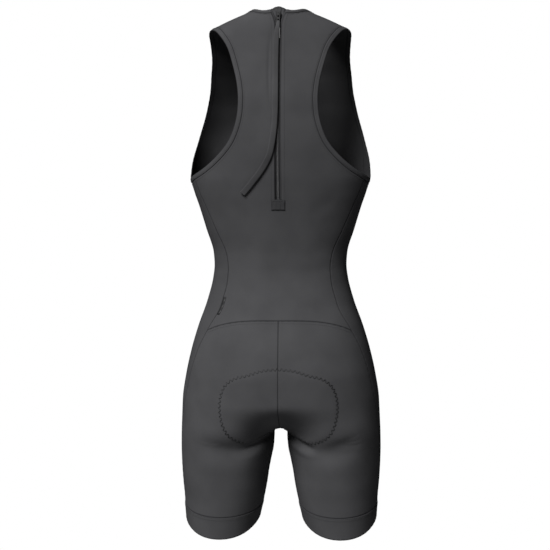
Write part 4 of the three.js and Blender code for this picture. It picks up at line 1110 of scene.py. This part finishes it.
for x, y in section:
    rings.append(stations + across * (x * half)[:, None] + out * (y * (1 + doubled) + wave * 0 - 0.25 * x * x)[:, None])
verts = np.stack(rings, 1)
n = len(section)
number = np.arange(181 * n).reshape(181, n)
after = np.roll(number, -1, 1)
faces = np.stack([number[:-1], after[:-1], after[1:], number[1:]], -1).reshape(-1, 4).tolist()
faces += [number[0][::-1].tolist(), number[-1].tolist()]
reach = np.array([x for x, _ in section])
uv = np.stack([reach[None, :] * half[:, None] * 1.0, np.broadcast_to(length[:, None], (181, n))], -1).reshape(-1, 2)
leash = new_mesh("leash_webbing", verts.reshape(-1, 3), faces, webbing, uv)
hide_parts("zip_leash")
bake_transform(leash)

# The side label: a folded black satin tab caught in the left side seam, bare on both faces.
satin = woven("label_satin", "#080809", "#0e0e0f", 0.5, 0.5, 0.03, 0.5, specular=0.12)
LABEL_TOP, LABEL_FOOT, LABEL_WIDTH = -461, -489, 6
side_x = np.interp(np.linspace(LABEL_FOOT, LABEL_TOP, 15), back_upper_seam[:, 2], back_upper_seam[:, 0])
across_label = np.linspace(LABEL_WIDTH + 1, 1, 9)
label_grid = skin_facing(
    1, side_x[:, None] - across_label[None, :] * 0.72, np.linspace(LABEL_FOOT, LABEL_TOP, 15)[:, None] - FAN_Z
)
label = cloth(
    "label_folded_tab",
    closer_edges(label_grid, ("low", "high", "left", "right")),
    satin,
    rise=1.35,
    sink=-0.35,
    roll=0.45,
    ease=False,
)
dress(label, "label_tab", "webbing")

# The chamois pad inside the seat: moulded foam under a brushed face, thick in its middle, thin at its
# zigzagged edge, with two channels down its length.
pad_fleece = woven("pad_brushed_fleece", "#1e1e20", "#262628", 1.1, 1.1, 0.15, 0.9, sheen=0.1)
PAD = table(
    "along half",
    [
        [-118, 18],
        [-100, 28],
        [-70, 31],
        [-30, 25],
        [0, 19],
        [20, 21],
        [40, 29],
        [60, 46],
        [80, 72],
        [100, 90],
        [120, 97],
        [140, 96],
        [160, 89],
        [175, 72],
        [185, 46],
        [191, 27],
    ],
)
pad_middle = {1: crotch_line(1, WAIST_MIDDLE), -1: crotch_line(-1, WAIST_FRONT)}
pad_along = np.linspace(-118, 191, 56)
pad_width = through(PAD, "along", "half")(pad_along)
start = np.stack(
    [pick(pad_middle[1 if s >= 0 else -1], [abs(s) / run(pad_middle[1 if s >= 0 else -1])[-1]])[0] for s in pad_along]
)
columns = [on_skin(start)]
aim = np.tile([1.0, 0, 0], (len(start), 1))
for _ in range(16):
    for _ in range(3):
        at = columns[-1] if _ == 0 else at
        normal = normal_at(at)
        aim = unit(aim - normal * (aim * normal).sum(-1, keepdims=True))
        at = on_skin(at + aim * (pad_width / 48)[:, None])
    columns.append(at)
half_pad = np.stack(columns, 1)
pad_grid = np.concatenate([mirrored(half_pad[:, :0:-1]), half_pad], axis=1)
x_share = np.abs(np.linspace(-1, 1, 33))[None, :]
y_share = np.abs(np.linspace(-1, 1, 56))[:, None]
bulk = (1 - x_share**4) ** 0.5 * (1 - y_share**8) ** 0.5
channels = np.exp(-(((x_share - 0.34) / 0.05) ** 2)) * (1 - y_share**6)
thick = 0.8 + 3.4 * bulk - 1.6 * channels * bulk
normal = normal_at(pad_grid)
dip = 3.7 - np.minimum(creased(pad_grid), 0)
top = pad_grid - normal * dip[..., None]
below = pad_grid - normal * (dip + thick)[..., None]
count = 56 * 33
number = np.arange(count).reshape(56, 33)
quads = np.stack([number[:-1, :-1], number[:-1, 1:], number[1:, 1:], number[1:, :-1]], -1).reshape(-1, 4)
ring = np.concatenate([number[0], number[1:, -1], number[-1, -2::-1], number[-2:0:-1, 0]])
rim = np.stack([np.roll(ring, -1), ring, ring + count, np.roll(ring, -1) + count], -1)
pad_uv = np.stack([steps_along(pad_grid, 1), steps_along(pad_grid, 0)], -1).reshape(-1, 2)
pad = new_mesh(
    "chamois_pad",
    np.concatenate([top.reshape(-1, 3), below.reshape(-1, 3)]),
    quads.tolist() + (quads[:, ::-1] + count).tolist() + rim.tolist(),
    pad_fleece,
    np.concatenate([pad_uv, pad_uv]),
)
dress(pad, "seat_pad", "pad_fabric")

# A pale floor at the height where a wearer would stand, and a white surround that the camera sees
# and that lights the suit faintly. A broad soft key light stands high behind its left shoulder.
FLOOR = -1420
floor_look = bpy.data.materials.new("pale_floor_paint")
floor_look.use_nodes = True
tree = floor_look.node_tree
speckle = add(tree, "TexNoise", {"Scale": 40.0}, {"Vector": add(tree, "TexCoord").outputs["Object"]})
tint = add(tree, "MixRGB", {"Color1": linear("#a2a2a2"), "Color2": linear("#a6a6a6")}, {"Fac": speckle.outputs["Fac"]})
tree.links.new(tint.outputs["Color"], tree.nodes["Principled BSDF"].inputs["Base Color"])
tree.nodes["Principled BSDF"].inputs["Roughness"].default_value = 0.95
reach = 1500
floor = new_mesh(
    "floor",
    [[-reach, -reach, FLOOR], [reach, -reach, FLOOR], [reach, reach, FLOOR], [-reach, reach, FLOOR]],
    [[0, 1, 2, 3]],
    floor_look,
    smooth=False,
)
world = bpy.data.worlds.new("studio")
scene.world = world
world.use_nodes = True
tree = world.node_tree
surround = tree.nodes["Background"]
surround.inputs["Color"].default_value = (1, 1, 1, 1)
surround.inputs["Strength"].default_value = 0.1
backdrop = add(tree, "Background", {"Color": (1, 1, 1, 1), "Strength": 1.0})
chosen = add(tree, "MixShader", {}, {0: add(tree, "LightPath").outputs["Is Camera Ray"]})
tree.links.new(surround.outputs["Background"], chosen.inputs[1])
tree.links.new(backdrop.outputs["Background"], chosen.inputs[2])
tree.links.new(chosen.outputs["Shader"], tree.nodes["World Output"].inputs["Surface"])
for name, toward, strength, spread in (("key_light", (0.33, 0.61, 0.72), 14, 28), ("rim_light", (0.95, -0.1, 0.3), 0.3, 50)):
    light = bpy.data.objects.new(name, bpy.data.lights.new(name, "SUN"))
    light.data.energy, light.data.angle = strength, math.radians(spread)
    light.rotation_euler = Vector(toward).to_track_quat("Z", "Y").to_euler()
    light.location = Vector(toward) * 3
    scene.collection.objects.link(light)
scene.view_settings.view_transform = "Standard"
